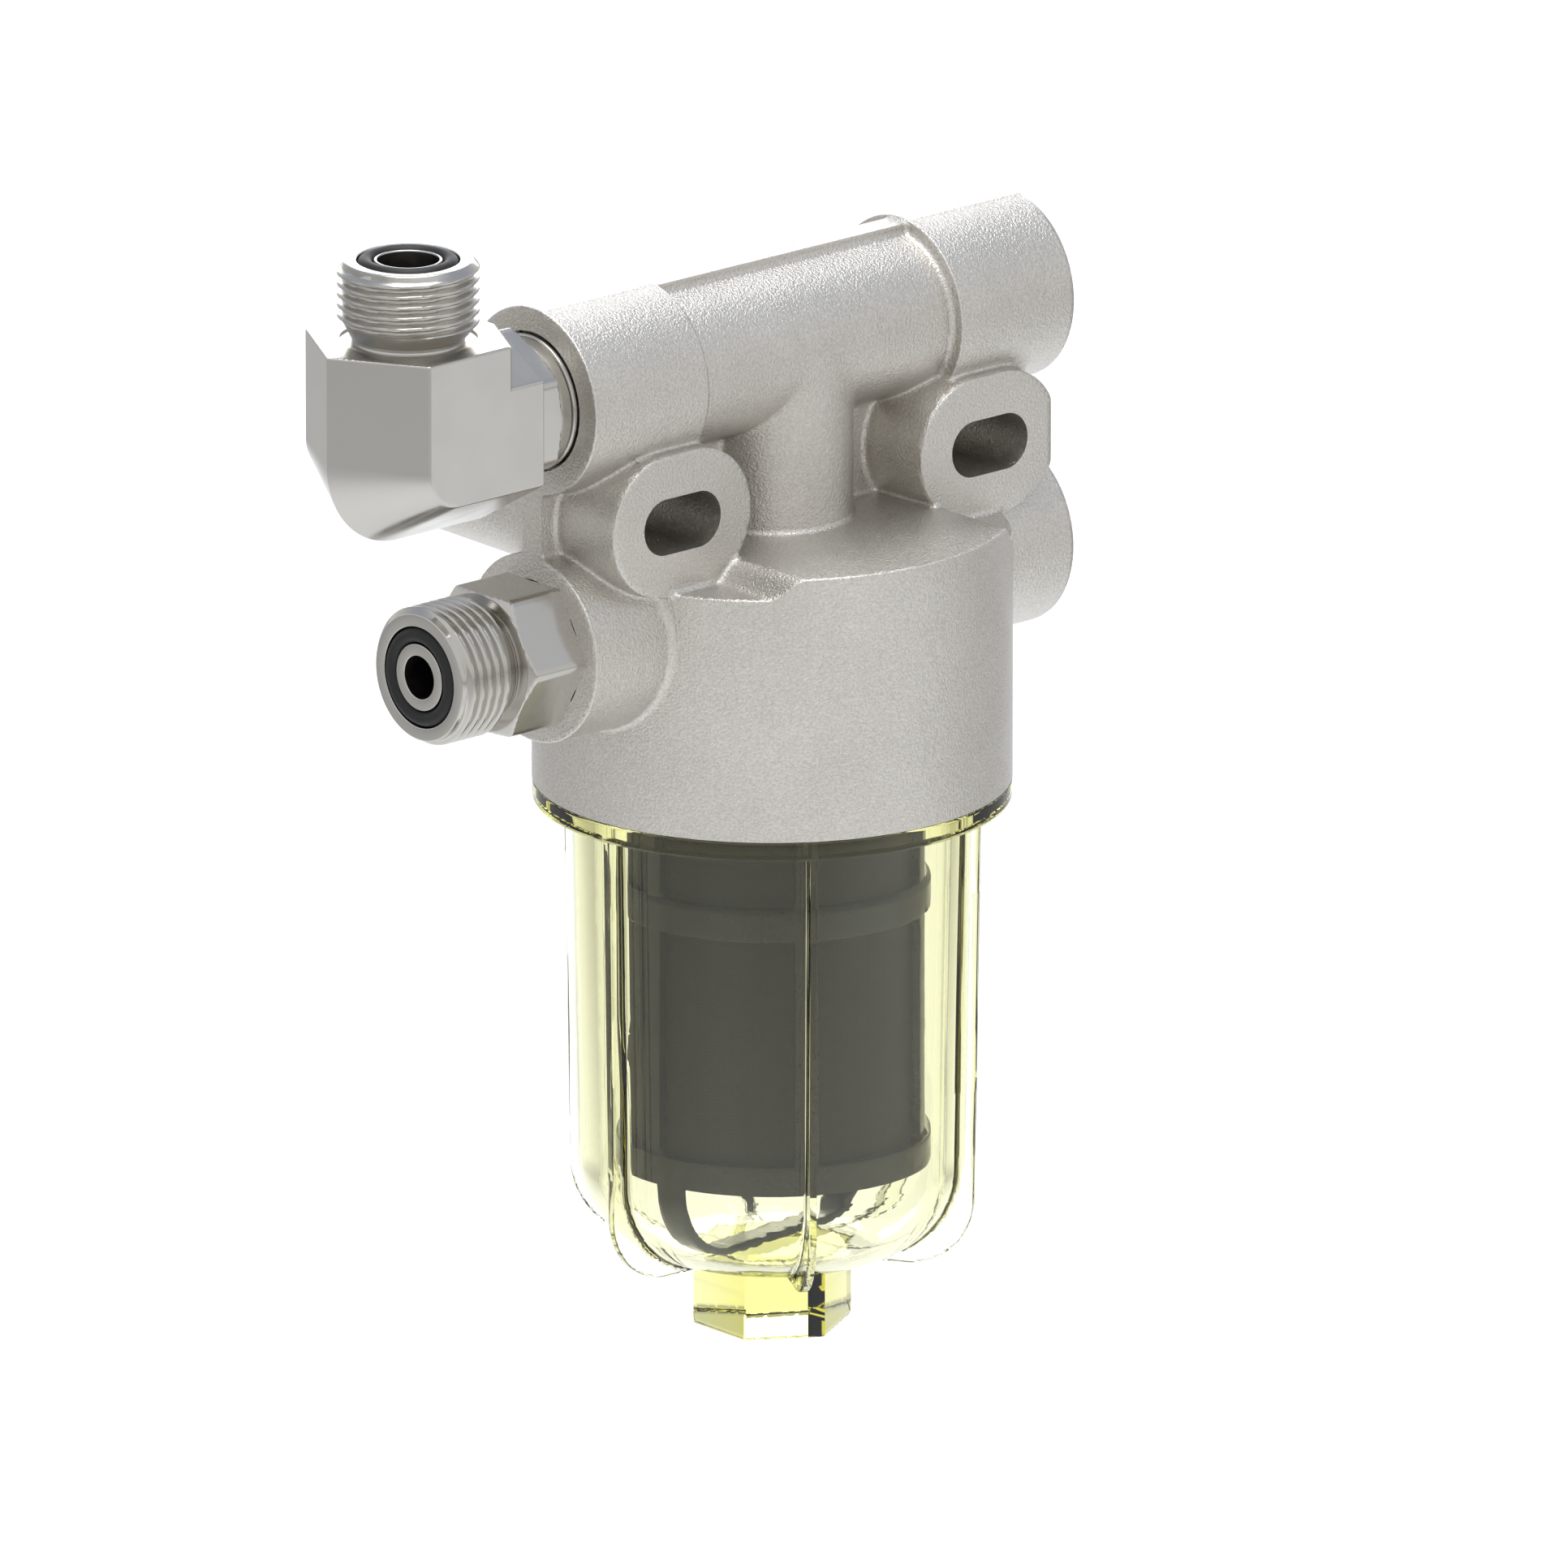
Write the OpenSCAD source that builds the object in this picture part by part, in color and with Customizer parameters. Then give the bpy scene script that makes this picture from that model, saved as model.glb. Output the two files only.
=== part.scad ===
// Fuel prefilter: a cast head with four ports and two slotted mounting bosses,
// a clear screw-on bowl, a strainer element inside it, an elbow and a straight
// adapter in the left ports and plugs in the right ones.
// X runs along the ports, -Y is the front, Z is the axis of the bowl.
// Z = 0 is level with the centres of the mounting slots.

/* [Head casting] */
// Width over the end faces of the ports
head_w = 93.4; // [92:0.1:100]
// Distance from the lower port axis up to the upper one
port_pitch = 37.3; // [36.8:0.1:40]
// Diameter of the four port bosses
port_boss_d = 28; // [26:0.1:29]
// Length of each upper port boss
port_boss_l = 22.1; // [18:0.1:24]
// Diameter of the upper tube between its bosses
tube_d = 24; // [22:0.1:25]
// Diameter of the neck that joins the tube to the skirt
neck_d = 23.6; // [20:0.1:23.8]
// Radius of the fillet at the foot of the neck
neck_fillet = 1.2; // [0.4:0.1:3]
// Thickness of the web in the parting plane
web_t = 4; // [3:0.1:6]
// Height of the rib over the upper tube, above the tube's axis
crest_h = 13.6; // [12.8:0.1:14]
// Rounding of the cast edges at the port faces
cast_edge = 0.6; // [0.2:0.1:1]

/* [Skirt] */
// Outer diameter of the skirt and of the bowl's flange
skirt_d = 70; // [69:0.1:74]
// Distance from the lower port axis down to the skirt's rim
rim_drop = 28.25; // [27:0.05:34]
// Depth of the middle of the skirt's top below the slot centres
land_drop = 7.3; // [6:0.1:8]
// Height of the step from the sides of the top up to its middle
land_step = 3.1; // [1:0.1:4]
// Half width of the raised middle of the top
land_half_w = 19.2; // [16:0.1:22]
// Width of the curved ramp beside it
ramp_w = 4.8; // [3:0.1:6]
// Thickness of the skirt's roof under the sides of the top
roof_t = 4.1; // [3:0.1:5]

/* [Mounting bosses] */
// Distance between the two slot centres
slot_pitch = 60; // [59:0.1:64]
// Width of each slot, for an M8 bolt
slot_w = 8.4; // [7:0.1:9]
// End-to-end length of each slot
slot_l = 14.8; // [12:0.1:16]
// Length of a boss at its front face
boss_l = 26.8; // [25:0.1:28]
// Height of a boss at its front face
boss_h = 21.3; // [19:0.1:22]
// Distance from the right slot's centre to the flat on that boss's outer end
boss_flat = 12.2; // [11:0.1:13]
// Distance of the front faces from the web's middle plane
boss_front = 14; // [10:0.1:18]
// Distance of the rear mounting faces from the web's middle plane
boss_rear = 36.5; // [35.5:0.1:45]
// Draft angle of the front bosses
front_draft = 2; // [0.5:0.1:3]
// Draft angle of the rear bosses
rear_draft = 1.2; // [0.5:0.1:2]

/* [Ports] */
// Diameter of the threads screwed into the ports
port_thread_d = 16; // [14:0.1:17]
// Depth of thread in a port, from the floor of its spotface
port_thread_l = 14; // [12:0.1:15]
// Diameter of the spotface in a port's end
spot_d = 20.8; // [20.4:0.1:22]
// Depth of the spotface
spot_depth = 1.2; // [0.6:0.1:2]
// Diameter of the seal's seat below the spotface
seat_d = 19; // [18.2:0.1:20]
// Depth of the seal's seat
seat_depth = 2.4; // [2.2:0.1:3]
// Diameter of the fuel passages behind the ports
passage_d = 12; // [9:0.1:13]
// Diameter of the passage down the neck
riser_d = 14; // [12:0.1:15]

/* [Bowl joint] */
// Diameter of the bowl's thread
bowl_thread_d = 62.6; // [62:0.1:64]
// Length of the bowl's thread
bowl_thread_l = 10; // [8:0.1:12]
// Diameter of the plain bore above the thread
pilot_d = 59; // [58.8:0.1:60]
// Length of the bowl's plain neck above its thread
pilot_l = 6; // [5:0.1:7]
// Wire thickness of the bowl's seal as it lies squeezed
bowl_seal_t = 2; // [1.6:0.1:2.2]

/* [Bowl] */
// Outer diameter of the bowl below its flange
bowl_d = 58.6; // [56:0.1:59.4]
// Wall thickness of the bowl
bowl_wall = 3.2; // [2.4:0.1:3.6]
// Thickness of the flange
flange_t = 3; // [2:0.1:5]
// Distance from the skirt's rim to the outside of the bowl's bottom
bowl_l = 72.1; // [71:0.1:90]
// Thickness of the bowl's floor
floor_t = 2; // [1.6:0.1:4]
// Taper of the bowl, as radius lost for each millimetre of height
bowl_taper = 0.016; // [0.005:0.001:0.02]
// Outer radius of the corner round the bottom
bowl_corner = 15; // [10:0.1:18]
// Height of the fins above the bowl's side
fin_h = 2.75; // [1:0.05:3]
// Thickness of the fins
fin_t = 1.2; // [0.8:0.1:3]
// Number of fins
fin_count = 6; // [3:1:12]
// Corner radius of the fins at the bottom
fin_corner = 10.5; // [6:0.1:12]
// Size across the flats of the wrench hexagon
lug_af = 20.3; // [17:0.1:24]
// Height of the wrench hexagon
lug_h = 11.2; // [8:0.1:16]
// Angle at which the first fin stops when the bowl is tight
bowl_turn = -1; // [-30:1:30]

/* [Strainer element] */
// Outer diameter of the cage
cage_d = 45; // [42:0.1:46]
// Height of the raised bands round the cage
band_h = 0.7; // [0.3:0.1:1]
// Wall thickness of the cage
cage_wall = 1.2; // [0.8:0.1:1.6]
// Distance from the skirt's rim to the bottom of the element
element_drop = 57.1; // [50:0.1:58]
// Width of the upright bars of the cage
bar_w = 2.8; // [2:0.1:5]
// Number of upright bars
bar_count = 6; // [4:1:8]
// Height of the lower windows
window_h = 32; // [20:0.1:33]
// Height of the band between the two rows of windows
mid_band_h = 7; // [4:0.1:9]
// Height of the bottom band
foot_band_h = 4.4; // [3:0.1:6]
// Wall thickness of the mesh sleeve
mesh_t = 0.8; // [0.5:0.1:1.2]
// Width of the bow under the element
bow_w = 5; // [3:0.1:8]
// Thickness of the bow
bow_t = 1.3; // [1:0.1:2]
// Outer corner radius of the bow
bow_corner = 12.5; // [8:0.1:12.6]
// Direction of the bow about the bowl's axis
bow_angle = 9; // [-30:1:30]

/* [Element seat] */
// Outer diameter of the spigot tube
spigot_d = 14; // [12:0.1:15]
// Bore of the spigot tube
spigot_bore = 10.4; // [8:0.1:11]
// Length of the spigot tube below the head's core
spigot_l = 14; // [12:0.1:18]
// Depth of the spigot tube in the head's core
spigot_in = 9; // [6:0.1:12]
// Diameter of the spigot's shoulder
shoulder_d = 19; // [17:0.1:22]
// Thickness of the spigot's shoulder
shoulder_t = 2; // [1.5:0.1:3]
// Diameter of the core inside the skirt
core_d = 26; // [22:0.1:30]
// Distance from the skirt's rim up to the core's end
core_rise = 15.9; // [14:0.1:20]
// Wire thickness of the element's seal
element_seal_t = 2.4; // [2:0.1:2.8]

/* [Face-seal ends] */
// Outer diameter of the hose thread, 13/16 inch
hose_thread_d = 20.64; // [18:0.01:22]
// Length of the hose thread
hose_thread_l = 9.4; // [7:0.1:12]
// Diameter of the neck behind the hose thread
hose_neck_d = 16.6; // [16:0.1:18]
// Length of the neck behind the hose thread
hose_neck_l = 2.4; // [1.5:0.1:3]
// Chamfer of the first thread
hose_chamfer = 1; // [0.5:0.1:1.4]
// Outer diameter of the groove in the end face
face_groove_od = 15; // [14.6:0.1:15.6]
// Inner diameter of the groove in the end face
face_groove_id = 9.95; // [9.6:0.05:10.4]
// Depth of the groove in the end face
face_groove_depth = 2.1; // [1.9:0.1:2.3]

/* [Elbow] */
// Distance from the port's end face to the elbow's upright axis
elbow_reach = 23.7; // [23:0.1:30]
// Circumscribed radius of the elbow's hexagonal bar
elbow_bar_r = 15.7; // [14.5:0.05:17]
// Distance from the elbow's axes to its flat shoulders
elbow_flat = 14.1; // [13:0.1:14.4]
// Offset of the turned corner's centre from the elbow's axes
elbow_turn = 2.2; // [0.5:0.1:4]
// Diameter of the spotface at the foot of the elbow's hose end
elbow_spot_d = 20.2; // [19:0.1:22]
// Depth of that spotface
elbow_spot_depth = 0.3; // [0.1:0.1:0.6]
// Bore of the elbow's hose end
elbow_bore = 9; // [8:0.1:9.2]
// Bore of the elbow's stud
stud_bore = 8; // [6:0.1:8]
// Length of thread from the port's end face into the port
stud_l = 12; // [10:0.1:12.6]
// Size across the flats of the locknut
nut_af = 20.8; // [20.5:0.1:22]
// Height of the locknut's hexagon
nut_hex_h = 6.2; // [4:0.1:6.6]
// Diameter of the locknut's round collar
nut_collar_d = 19.6; // [18:0.1:20]
// Outer diameter of the backing washer
washer_d = 20.2; // [19:0.1:20.2]
// Thickness of the backing washer
washer_t = 2; // [1.6:0.1:2.4]

/* [Adapter] */
// Size across the flats of the adapter's hexagon
adapter_af = 20.6; // [20.4:0.1:24]
// Height of the adapter's hexagon
adapter_hex_h = 10.1; // [6:0.1:12]
// Bore of the adapter
adapter_bore = 6.4; // [5:0.1:8]

/* [Plugs] */
// Diameter of a plug's collar
plug_collar_d = 20.2; // [18:0.1:20.2]
// How far a plug's collar stands out of its port
plug_stand = 1.4; // [0.5:0.1:2]
// Size across the flats of a plug's hexagon socket
plug_socket_af = 8; // [5:0.1:9]
// Depth of a plug's hexagon socket
plug_socket_depth = 6; // [4:0.1:8]

/* [Seals and fits] */
// Wire thickness of the port and face seals
seal_t = 2.1; // [1.8:0.1:2.2]
// Radial clearance of screwed and turning fits
run_gap = 0.1; // [0.06:0.01:0.1]
// Clearance of a piece that is set in another
set_gap = 0.05; // [0.03:0.01:0.1]

/* [Hidden] */
$fn = 96;

// Room that a cutting solid runs past the surface it cuts
cut = 1;
// Overlap of solids that are joined inside another
lap = 1;
// How much smaller a mounting boss is at its rear face than at its front face
rear_less = 1;
// How far the wedge of a mounting boss lies inside the cones at its ends
seam = 0.05;

// Levels and places of the head
upper_z = port_pitch / 2;
lower_z = -port_pitch / 2;
rim_z = lower_z - rim_drop;
land_z = -land_drop;
side_z = land_z - land_step;
roof_z = side_z - roof_t;
core_z = rim_z + core_rise;
port_x = head_w / 2;
slot_x = slot_pitch / 2;
skirt_r = skirt_d / 2;

// Levels of the bowl
thread_top_z = rim_z + bowl_thread_l;
pilot_top_z = thread_top_z + pilot_l;
flange_z = rim_z - flange_t;
bowl_z = rim_z - bowl_l;
lug_z = bowl_z - lug_h;
floor_z = bowl_z + floor_t;
bowl_seal_z = thread_top_z + pilot_l / 2;
pilot_r = pilot_d / 2 - run_gap;
bowl_seal_r = pilot_d / 2 - set_gap - bowl_seal_t / 2;
bowl_seal_floor = bowl_seal_r - bowl_seal_t / 2 - set_gap;

// Levels of the element
element_z = rim_z - element_drop;
cage_top_z = core_z - shoulder_t - set_gap;
plate_t = 2;
foot_band_z = element_z + foot_band_h;
mid_band_z = foot_band_z + window_h;
mid_band_top_z = mid_band_z + mid_band_h;
top_band_h = 6;
upper_window_top_z = cage_top_z - top_band_h;
collar_l = 8;
collar_wall = 4;
collar_lip = 2;
cap_t = 3;
cap_r = cage_d / 2 - cage_wall - set_gap;
cap_rim = 2;
cap_dish = 1;
bow_inset = 0.2;
bow_r = cage_d / 2 + band_h - bow_inset;
bow_gap = 0.3;

// Places of the fittings
spot_x = port_x - spot_depth;
elbow_x = -port_x - elbow_reach;
elbow_shoulder_x = elbow_x + elbow_flat;
undercut_r = seat_d / 2 - seal_t - set_gap;
stud_r = port_thread_d / 2 - run_gap;
hose_r = hose_thread_d / 2;
seal_r = seat_d / 2 - seal_t / 2 - set_gap;
face_seal_r = (face_groove_od + face_groove_id) / 4;
face_seal_t = (face_groove_od - face_groove_id) / 2 - 2 * set_gap;
nut_collar_end_x = -spot_x - washer_t;
hex_chamfer = 18;

// Colours
cast_grey = "#b8b6b2";
steel_grey = "#a9a7a3";
rubber_black = "#2c2c2c";
bowl_yellow = [0.96, 0.95, 0.55, 0.4];
cage_grey = "#4a473f";
mesh_grey = "#55534a";

function arc(cx, cz, r, a0, a1, n = 12) =
    [for (i = [0:n]) [cx + r * cos(a0 + (a1 - a0) * i / n),
                      cz + r * sin(a0 + (a1 - a0) * i / n)]];

// Turns a solid drawn along Z so that it runs along X, towards +X
module along_x() {
    rotate([0, 90, 0]) children();
}

// Turns a solid drawn along Z so that it runs along Y, towards +Y
module along_y() {
    rotate([-90, 0, 0]) children();
}

// A hexagonal bar along Z with its corners on the X axis
module hexagon_bar(across_flats, height) {
    cylinder(d = across_flats / cos(30), h = height, $fn = 6);
}

module ring(major_r, wire) {
    rotate_extrude() translate([major_r, 0]) circle(d = wire, $fn = 32);
}

// A round boss along X with a rounded outer edge, from x0 out to x1
module port_boss(x0, x1) {
    r = port_boss_d / 2;
    translate([x0, 0, 0]) along_x() rotate_extrude()
        polygon(concat([[0, 0], [r, 0]],
                       arc(r - cast_edge, x1 - x0 - cast_edge, cast_edge, 0, 90, 6),
                       [[0, x1 - x0]]));
}

// A slotted mounting boss seen along Y: two cones and the wedge between them.
// It narrows by the draft angle from y0, at the web, to y1.
module drafted_boss(end_l, end_h, y0, y1, draft) {
    r1 = end_h / 2;
    r0 = r1 + abs(y1 - y0) * tan(draft);
    half = (end_l - end_h) / 2;
    w0 = r0 - seam;
    w1 = r1 - seam;
    for (x = [-half, half]) translate([x, y0, 0])
        rotate([y1 > y0 ? -90 : 90, 0, 0]) cylinder(r1 = r0, r2 = r1, h = abs(y1 - y0));
    translate([-half, 0, 0]) rotate([90, 0, 90]) linear_extrude(2 * half)
        polygon([[y0, -w0], [y1, -w1], [y1, w1], [y0, w0]]);
}

module slot_shape() {
    square([slot_l - slot_w, slot_w], center = true);
    for (s = [-1, 1]) translate([s * (slot_l - slot_w) / 2, 0]) circle(d = slot_w);
}

// The skirt's top: a level middle with an S-shaped ramp down to each side
module skirt_top_profile() {
    n = 10;
    ramp = [for (i = [0:n]) [land_half_w + ramp_w * i / n,
                             land_z - land_step * (1 - cos(180 * i / n)) / 2]];
    mirrored = [for (i = [n:-1:0]) [-ramp[i][0], ramp[i][1]]];
    polygon(concat([[-skirt_d, rim_z]], [[-skirt_d, side_z]], mirrored, ramp,
                   [[skirt_d, side_z]], [[skirt_d, rim_z]]));
}

module skirt() {
    intersection() {
        translate([0, 0, rim_z]) cylinder(r = skirt_r, h = land_z - rim_z);
        translate([0, skirt_d, 0]) rotate([90, 0, 0]) linear_extrude(2 * skirt_d)
            skirt_top_profile();
    }
}

module neck() {
    r = neck_d / 2;
    rotate_extrude()
        polygon(concat([[0, roof_z], [r + neck_fillet, roof_z],
                        [r + neck_fillet, land_z]],
                       arc(r + neck_fillet, land_z + neck_fillet, neck_fillet, 270, 180, 6),
                       [[r, upper_z], [0, upper_z]]));
}

module mounting_boss() {
    drafted_boss(boss_l, boss_h, lap, -boss_front, front_draft);
    drafted_boss(boss_l - rear_less, boss_h - rear_less, -lap, boss_rear, rear_draft);
}

// Both bosses; the right one has a flat on its outer end
module mounting_bosses() {
    translate([-slot_x, 0, 0]) mounting_boss();
    translate([slot_x, 0, 0]) difference() {
        mounting_boss();
        translate([boss_flat, -boss_front - cut, -boss_l])
            cube([boss_l, boss_front + boss_rear + 2 * cut, 2 * boss_l]);
    }
}

module web() {
    translate([-port_x, -web_t / 2, lower_z])
        cube([head_w, web_t, upper_z + crest_h - lower_z]);
}

// One port, drawn at the left end of a boss: spotface, seal seat, thread, passage
module port_cut(reach) {
    translate([-port_x, 0, 0]) along_x() {
        translate([0, 0, -cut]) cylinder(d = spot_d, h = spot_depth + cut);
        translate([0, 0, spot_depth]) cylinder(d = seat_d, h = seat_depth);
        translate([0, 0, spot_depth]) cylinder(d = port_thread_d, h = port_thread_l);
        cylinder(d = passage_d, h = reach);
    }
}

module both_ends() {
    children();
    rotate([0, 0, 180]) children();
}

// The room inside the skirt, round its core
module cavity() {
    difference() {
        union() {
            translate([0, 0, rim_z]) cylinder(d = pilot_d, h = roof_z - rim_z);
            translate([0, 0, rim_z - cut])
                cylinder(d = bowl_thread_d, h = bowl_thread_l + cut);
        }
        translate([0, 0, core_z]) cylinder(d = core_d, h = roof_z - core_z + cut);
    }
}

module filter_head() {
    color(cast_grey) difference() {
        union() {
            skirt();
            neck();
            web();
            mounting_bosses();
            translate([0, 0, upper_z]) {
                translate([-port_x + port_boss_l, 0, 0])
                    along_x() cylinder(d = tube_d, h = head_w - 2 * port_boss_l);
                both_ends() port_boss(port_x - port_boss_l, port_x);
            }
            translate([0, 0, lower_z]) both_ends() port_boss(land_half_w, port_x);
        }
        cavity();
        translate([0, 0, upper_z]) both_ends() port_cut(port_x + cut);
        translate([0, 0, lower_z]) both_ends() port_cut(port_x - pilot_d / 2 + cut);
        translate([0, 0, core_z - cut]) cylinder(d = riser_d, h = upper_z - core_z + cut);
        for (s = [-1, 1]) translate([s * slot_x, -boss_front - cut, 0])
            along_y() linear_extrude(boss_front + boss_rear + 2 * cut) slot_shape();
    }
}

// The tube that the element pushes on, set in the core from below
module element_spigot() {
    color(steel_grey) difference() {
        union() {
            translate([0, 0, core_z - spigot_l]) cylinder(d = spigot_d, h = spigot_l);
            translate([0, 0, core_z]) cylinder(d = riser_d - 2 * set_gap, h = spigot_in);
            translate([0, 0, core_z - shoulder_t]) cylinder(d = shoulder_d, h = shoulder_t);
        }
        translate([0, 0, core_z - spigot_l - cut])
            cylinder(d = spigot_bore, h = spigot_l + spigot_in + 2 * cut);
    }
}

function bowl_r(z) = bowl_d / 2 - bowl_taper * (flange_z - z);

// Outline of the bowl in section: outside down, then the inside up
module bowl_section() {
    corner_z = bowl_z + bowl_corner;
    corner_x = bowl_r(corner_z) - bowl_corner;
    inner_corner = bowl_corner - bowl_wall;
    groove_half = bowl_seal_t / 2 + set_gap;
    thread_r = bowl_thread_d / 2 - run_gap;
    polygon(concat(
        [[bowl_r(flange_z) - bowl_wall, pilot_top_z],
         [pilot_r, pilot_top_z],
         [pilot_r, bowl_seal_z + groove_half],
         [bowl_seal_floor, bowl_seal_z + groove_half],
         [bowl_seal_floor, bowl_seal_z - groove_half],
         [pilot_r, bowl_seal_z - groove_half],
         [pilot_r, thread_top_z],
         [thread_r, thread_top_z],
         [thread_r, rim_z],
         [skirt_r, rim_z],
         [skirt_r, flange_z],
         [bowl_r(flange_z), flange_z]],
        arc(corner_x, corner_z, bowl_corner, 0, -90, 16),
        [[0, bowl_z], [0, floor_z]],
        arc(corner_x, floor_z + inner_corner, inner_corner, -90, 0, 16)));
}

// Half outline of a fin, from well inside the bowl's wall to its outer edge
module fin_section() {
    fin_r = bowl_r(bowl_z + fin_corner) + fin_h;
    inner_r = lug_af / 2 - lap;
    polygon(concat(
        [[bowl_r(flange_z) - bowl_wall / 2, flange_z],
         [bowl_r(flange_z) + fin_h, flange_z]],
        arc(fin_r - fin_corner, bowl_z + fin_corner - fin_t / 4, fin_corner, 0, -90, 14),
        [[inner_r, bowl_z - fin_t / 4],
         [inner_r, bowl_z + floor_t / 2],
         [bowl_r(bowl_z) - bowl_corner, bowl_z + floor_t / 2]],
        arc(bowl_r(bowl_z) - bowl_corner, bowl_z + bowl_corner, bowl_corner - bowl_wall / 2,
            -90, 0, 14)));
}

module bowl() {
    color(bowl_yellow) rotate([0, 0, bowl_turn]) union() {
        rotate_extrude() bowl_section();
        for (i = [0:fin_count - 1]) rotate([90, 0, i * 360 / fin_count])
            translate([0, 0, -fin_t / 2]) linear_extrude(fin_t) fin_section();
        translate([0, 0, lug_z]) rotate([0, 0, 30])
            hexagon_bar(lug_af, lug_h + floor_t / 2);
    }
}

module bowl_seal() {
    color(rubber_black) translate([0, 0, bowl_seal_z])
        ring(bowl_seal_r, bowl_seal_t);
}

// Windows of one row, one between each two bars
module windows(z0, z1) {
    r = cage_d / 2;
    difference() {
        translate([0, 0, z0]) difference() {
            cylinder(r = r + band_h + cut, h = z1 - z0);
            translate([0, 0, -cut]) cylinder(r = r - cage_wall - cut, h = z1 - z0 + 2 * cut);
        }
        for (i = [0:bar_count - 1]) rotate([0, 0, i * 360 / bar_count])
            translate([0, -bar_w / 2, z0 - cut]) cube([r + 2 * cut, bar_w, z1 - z0 + 2 * cut]);
    }
}

// The flat bow under the cage: it stands on the bowl's floor and holds the element up
module bow() {
    bow_h = element_z - floor_z - bow_gap;
    bow_z = element_z - bow_h;
    mid_z = bow_z + bow_corner;
    straight = bow_r - bow_corner;
    rotate([90, 0, bow_angle]) translate([0, 0, -bow_w / 2]) linear_extrude(bow_w)
        difference() {
            union() {
                for (s = [-1, 1]) translate([s * straight, mid_z]) circle(r = bow_corner);
                translate([-bow_r, mid_z]) square([2 * bow_r, element_z + bow_t - mid_z]);
                translate([-straight, bow_z]) square([2 * straight, bow_h]);
            }
            for (s = [-1, 1]) translate([s * straight, mid_z])
                circle(r = bow_corner - bow_t);
            translate([bow_t - bow_r, mid_z]) square([2 * (bow_r - bow_t), bow_h]);
            translate([-straight, bow_z + bow_t]) square([2 * straight, bow_h]);
        }
}

// The moulded cage: two rows of windows between bands, closed at the top round
// a collar that fits over the spigot
module element_cage() {
    r = cage_d / 2;
    inner = r - cage_wall;
    collar_r = spigot_d / 2 + collar_wall;
    groove_z = cage_top_z - collar_l + collar_lip;
    color(cage_grey) difference() {
        union() {
            rotate_extrude() polygon([
                [spigot_d / 2 + run_gap, cage_top_z],
                [r, cage_top_z],
                [r, mid_band_top_z],
                [r + band_h, mid_band_top_z - band_h],
                [r + band_h, mid_band_z],
                [r, mid_band_z],
                [r, foot_band_z],
                [r + band_h, foot_band_z],
                [r + band_h, element_z],
                [inner, element_z],
                [inner, cage_top_z - plate_t],
                [collar_r, cage_top_z - plate_t],
                [collar_r, cage_top_z - collar_l],
                [spigot_d / 2 + run_gap, cage_top_z - collar_l]]);
            bow();
        }
        windows(foot_band_z, mid_band_z);
        windows(mid_band_top_z, upper_window_top_z);
        translate([0, 0, groove_z])
            cylinder(r = spigot_d / 2 + element_seal_t + set_gap,
                     h = element_seal_t + 2 * set_gap);
    }
}

module element_mesh() {
    r = cage_d / 2 - cage_wall - set_gap;
    z0 = element_z + cap_t + set_gap;
    h = cage_top_z - plate_t - set_gap - z0;
    color(mesh_grey) translate([0, 0, z0]) difference() {
        cylinder(r = r, h = h);
        translate([0, 0, -cut]) cylinder(r = r - mesh_t, h = h + 2 * cut);
    }
}

// The disc that closes the element's foot, dished on its underside
module element_end_cap() {
    color(cage_grey) difference() {
        translate([0, 0, element_z]) cylinder(r = cap_r, h = cap_t);
        translate([0, 0, element_z - cut]) cylinder(r = cap_r - cap_rim, h = cap_dish + cut);
    }
}

module element_seal() {
    color(rubber_black)
        translate([0, 0, cage_top_z - collar_l + collar_lip + set_gap + element_seal_t / 2])
            ring(spigot_d / 2 + element_seal_t / 2 + set_gap / 2, element_seal_t - set_gap);
}

// A flat-faced hose end along Z: neck, thread and a face groove round the bore.
// Its end face lies at z = 0 and it runs down from there.
module hose_end(length) {
    thread_z = -hose_thread_l;
    neck_r = hose_neck_d / 2;
    rotate_extrude() polygon([
        [0, -length],
        [neck_r, -length],
        [neck_r, thread_z - (hose_r - neck_r)],
        [hose_r, thread_z],
        [hose_r, -hose_chamfer],
        [hose_r - hose_chamfer, 0],
        [face_groove_od / 2, 0],
        [face_groove_od / 2, -face_groove_depth],
        [face_groove_id / 2, -face_groove_depth],
        [face_groove_id / 2, 0],
        [0, 0]]);
}

module face_seal() {
    translate([0, 0, face_seal_t / 2 - face_groove_depth + set_gap])
        ring(face_seal_r, face_seal_t);
}

hose_end_l = hose_thread_l + hose_neck_l;
elbow_end_z = upper_z + elbow_flat + hose_end_l;

// Side of the elbow's bar: a sharp ridge towards -X, cut off square at the shoulder.
// The flats at +Y and -Y are cut later, through both arms at once.
module bar_section() {
    ridge_w = elbow_bar_r / tan(30);
    shoulder_w = ridge_w * (1 - elbow_flat / elbow_bar_r);
    polygon([[-elbow_bar_r, 0], [0, -ridge_w], [elbow_flat, -shoulder_w],
             [elbow_flat, shoulder_w], [0, ridge_w]]);
}

// The same ridge where it turns round the outer corner
module corner_section() {
    ridge_r = elbow_bar_r - elbow_turn;
    ridge_w = ridge_r / tan(30);
    polygon([[0, -ridge_w], [ridge_r, 0], [0, ridge_w]]);
}

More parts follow.
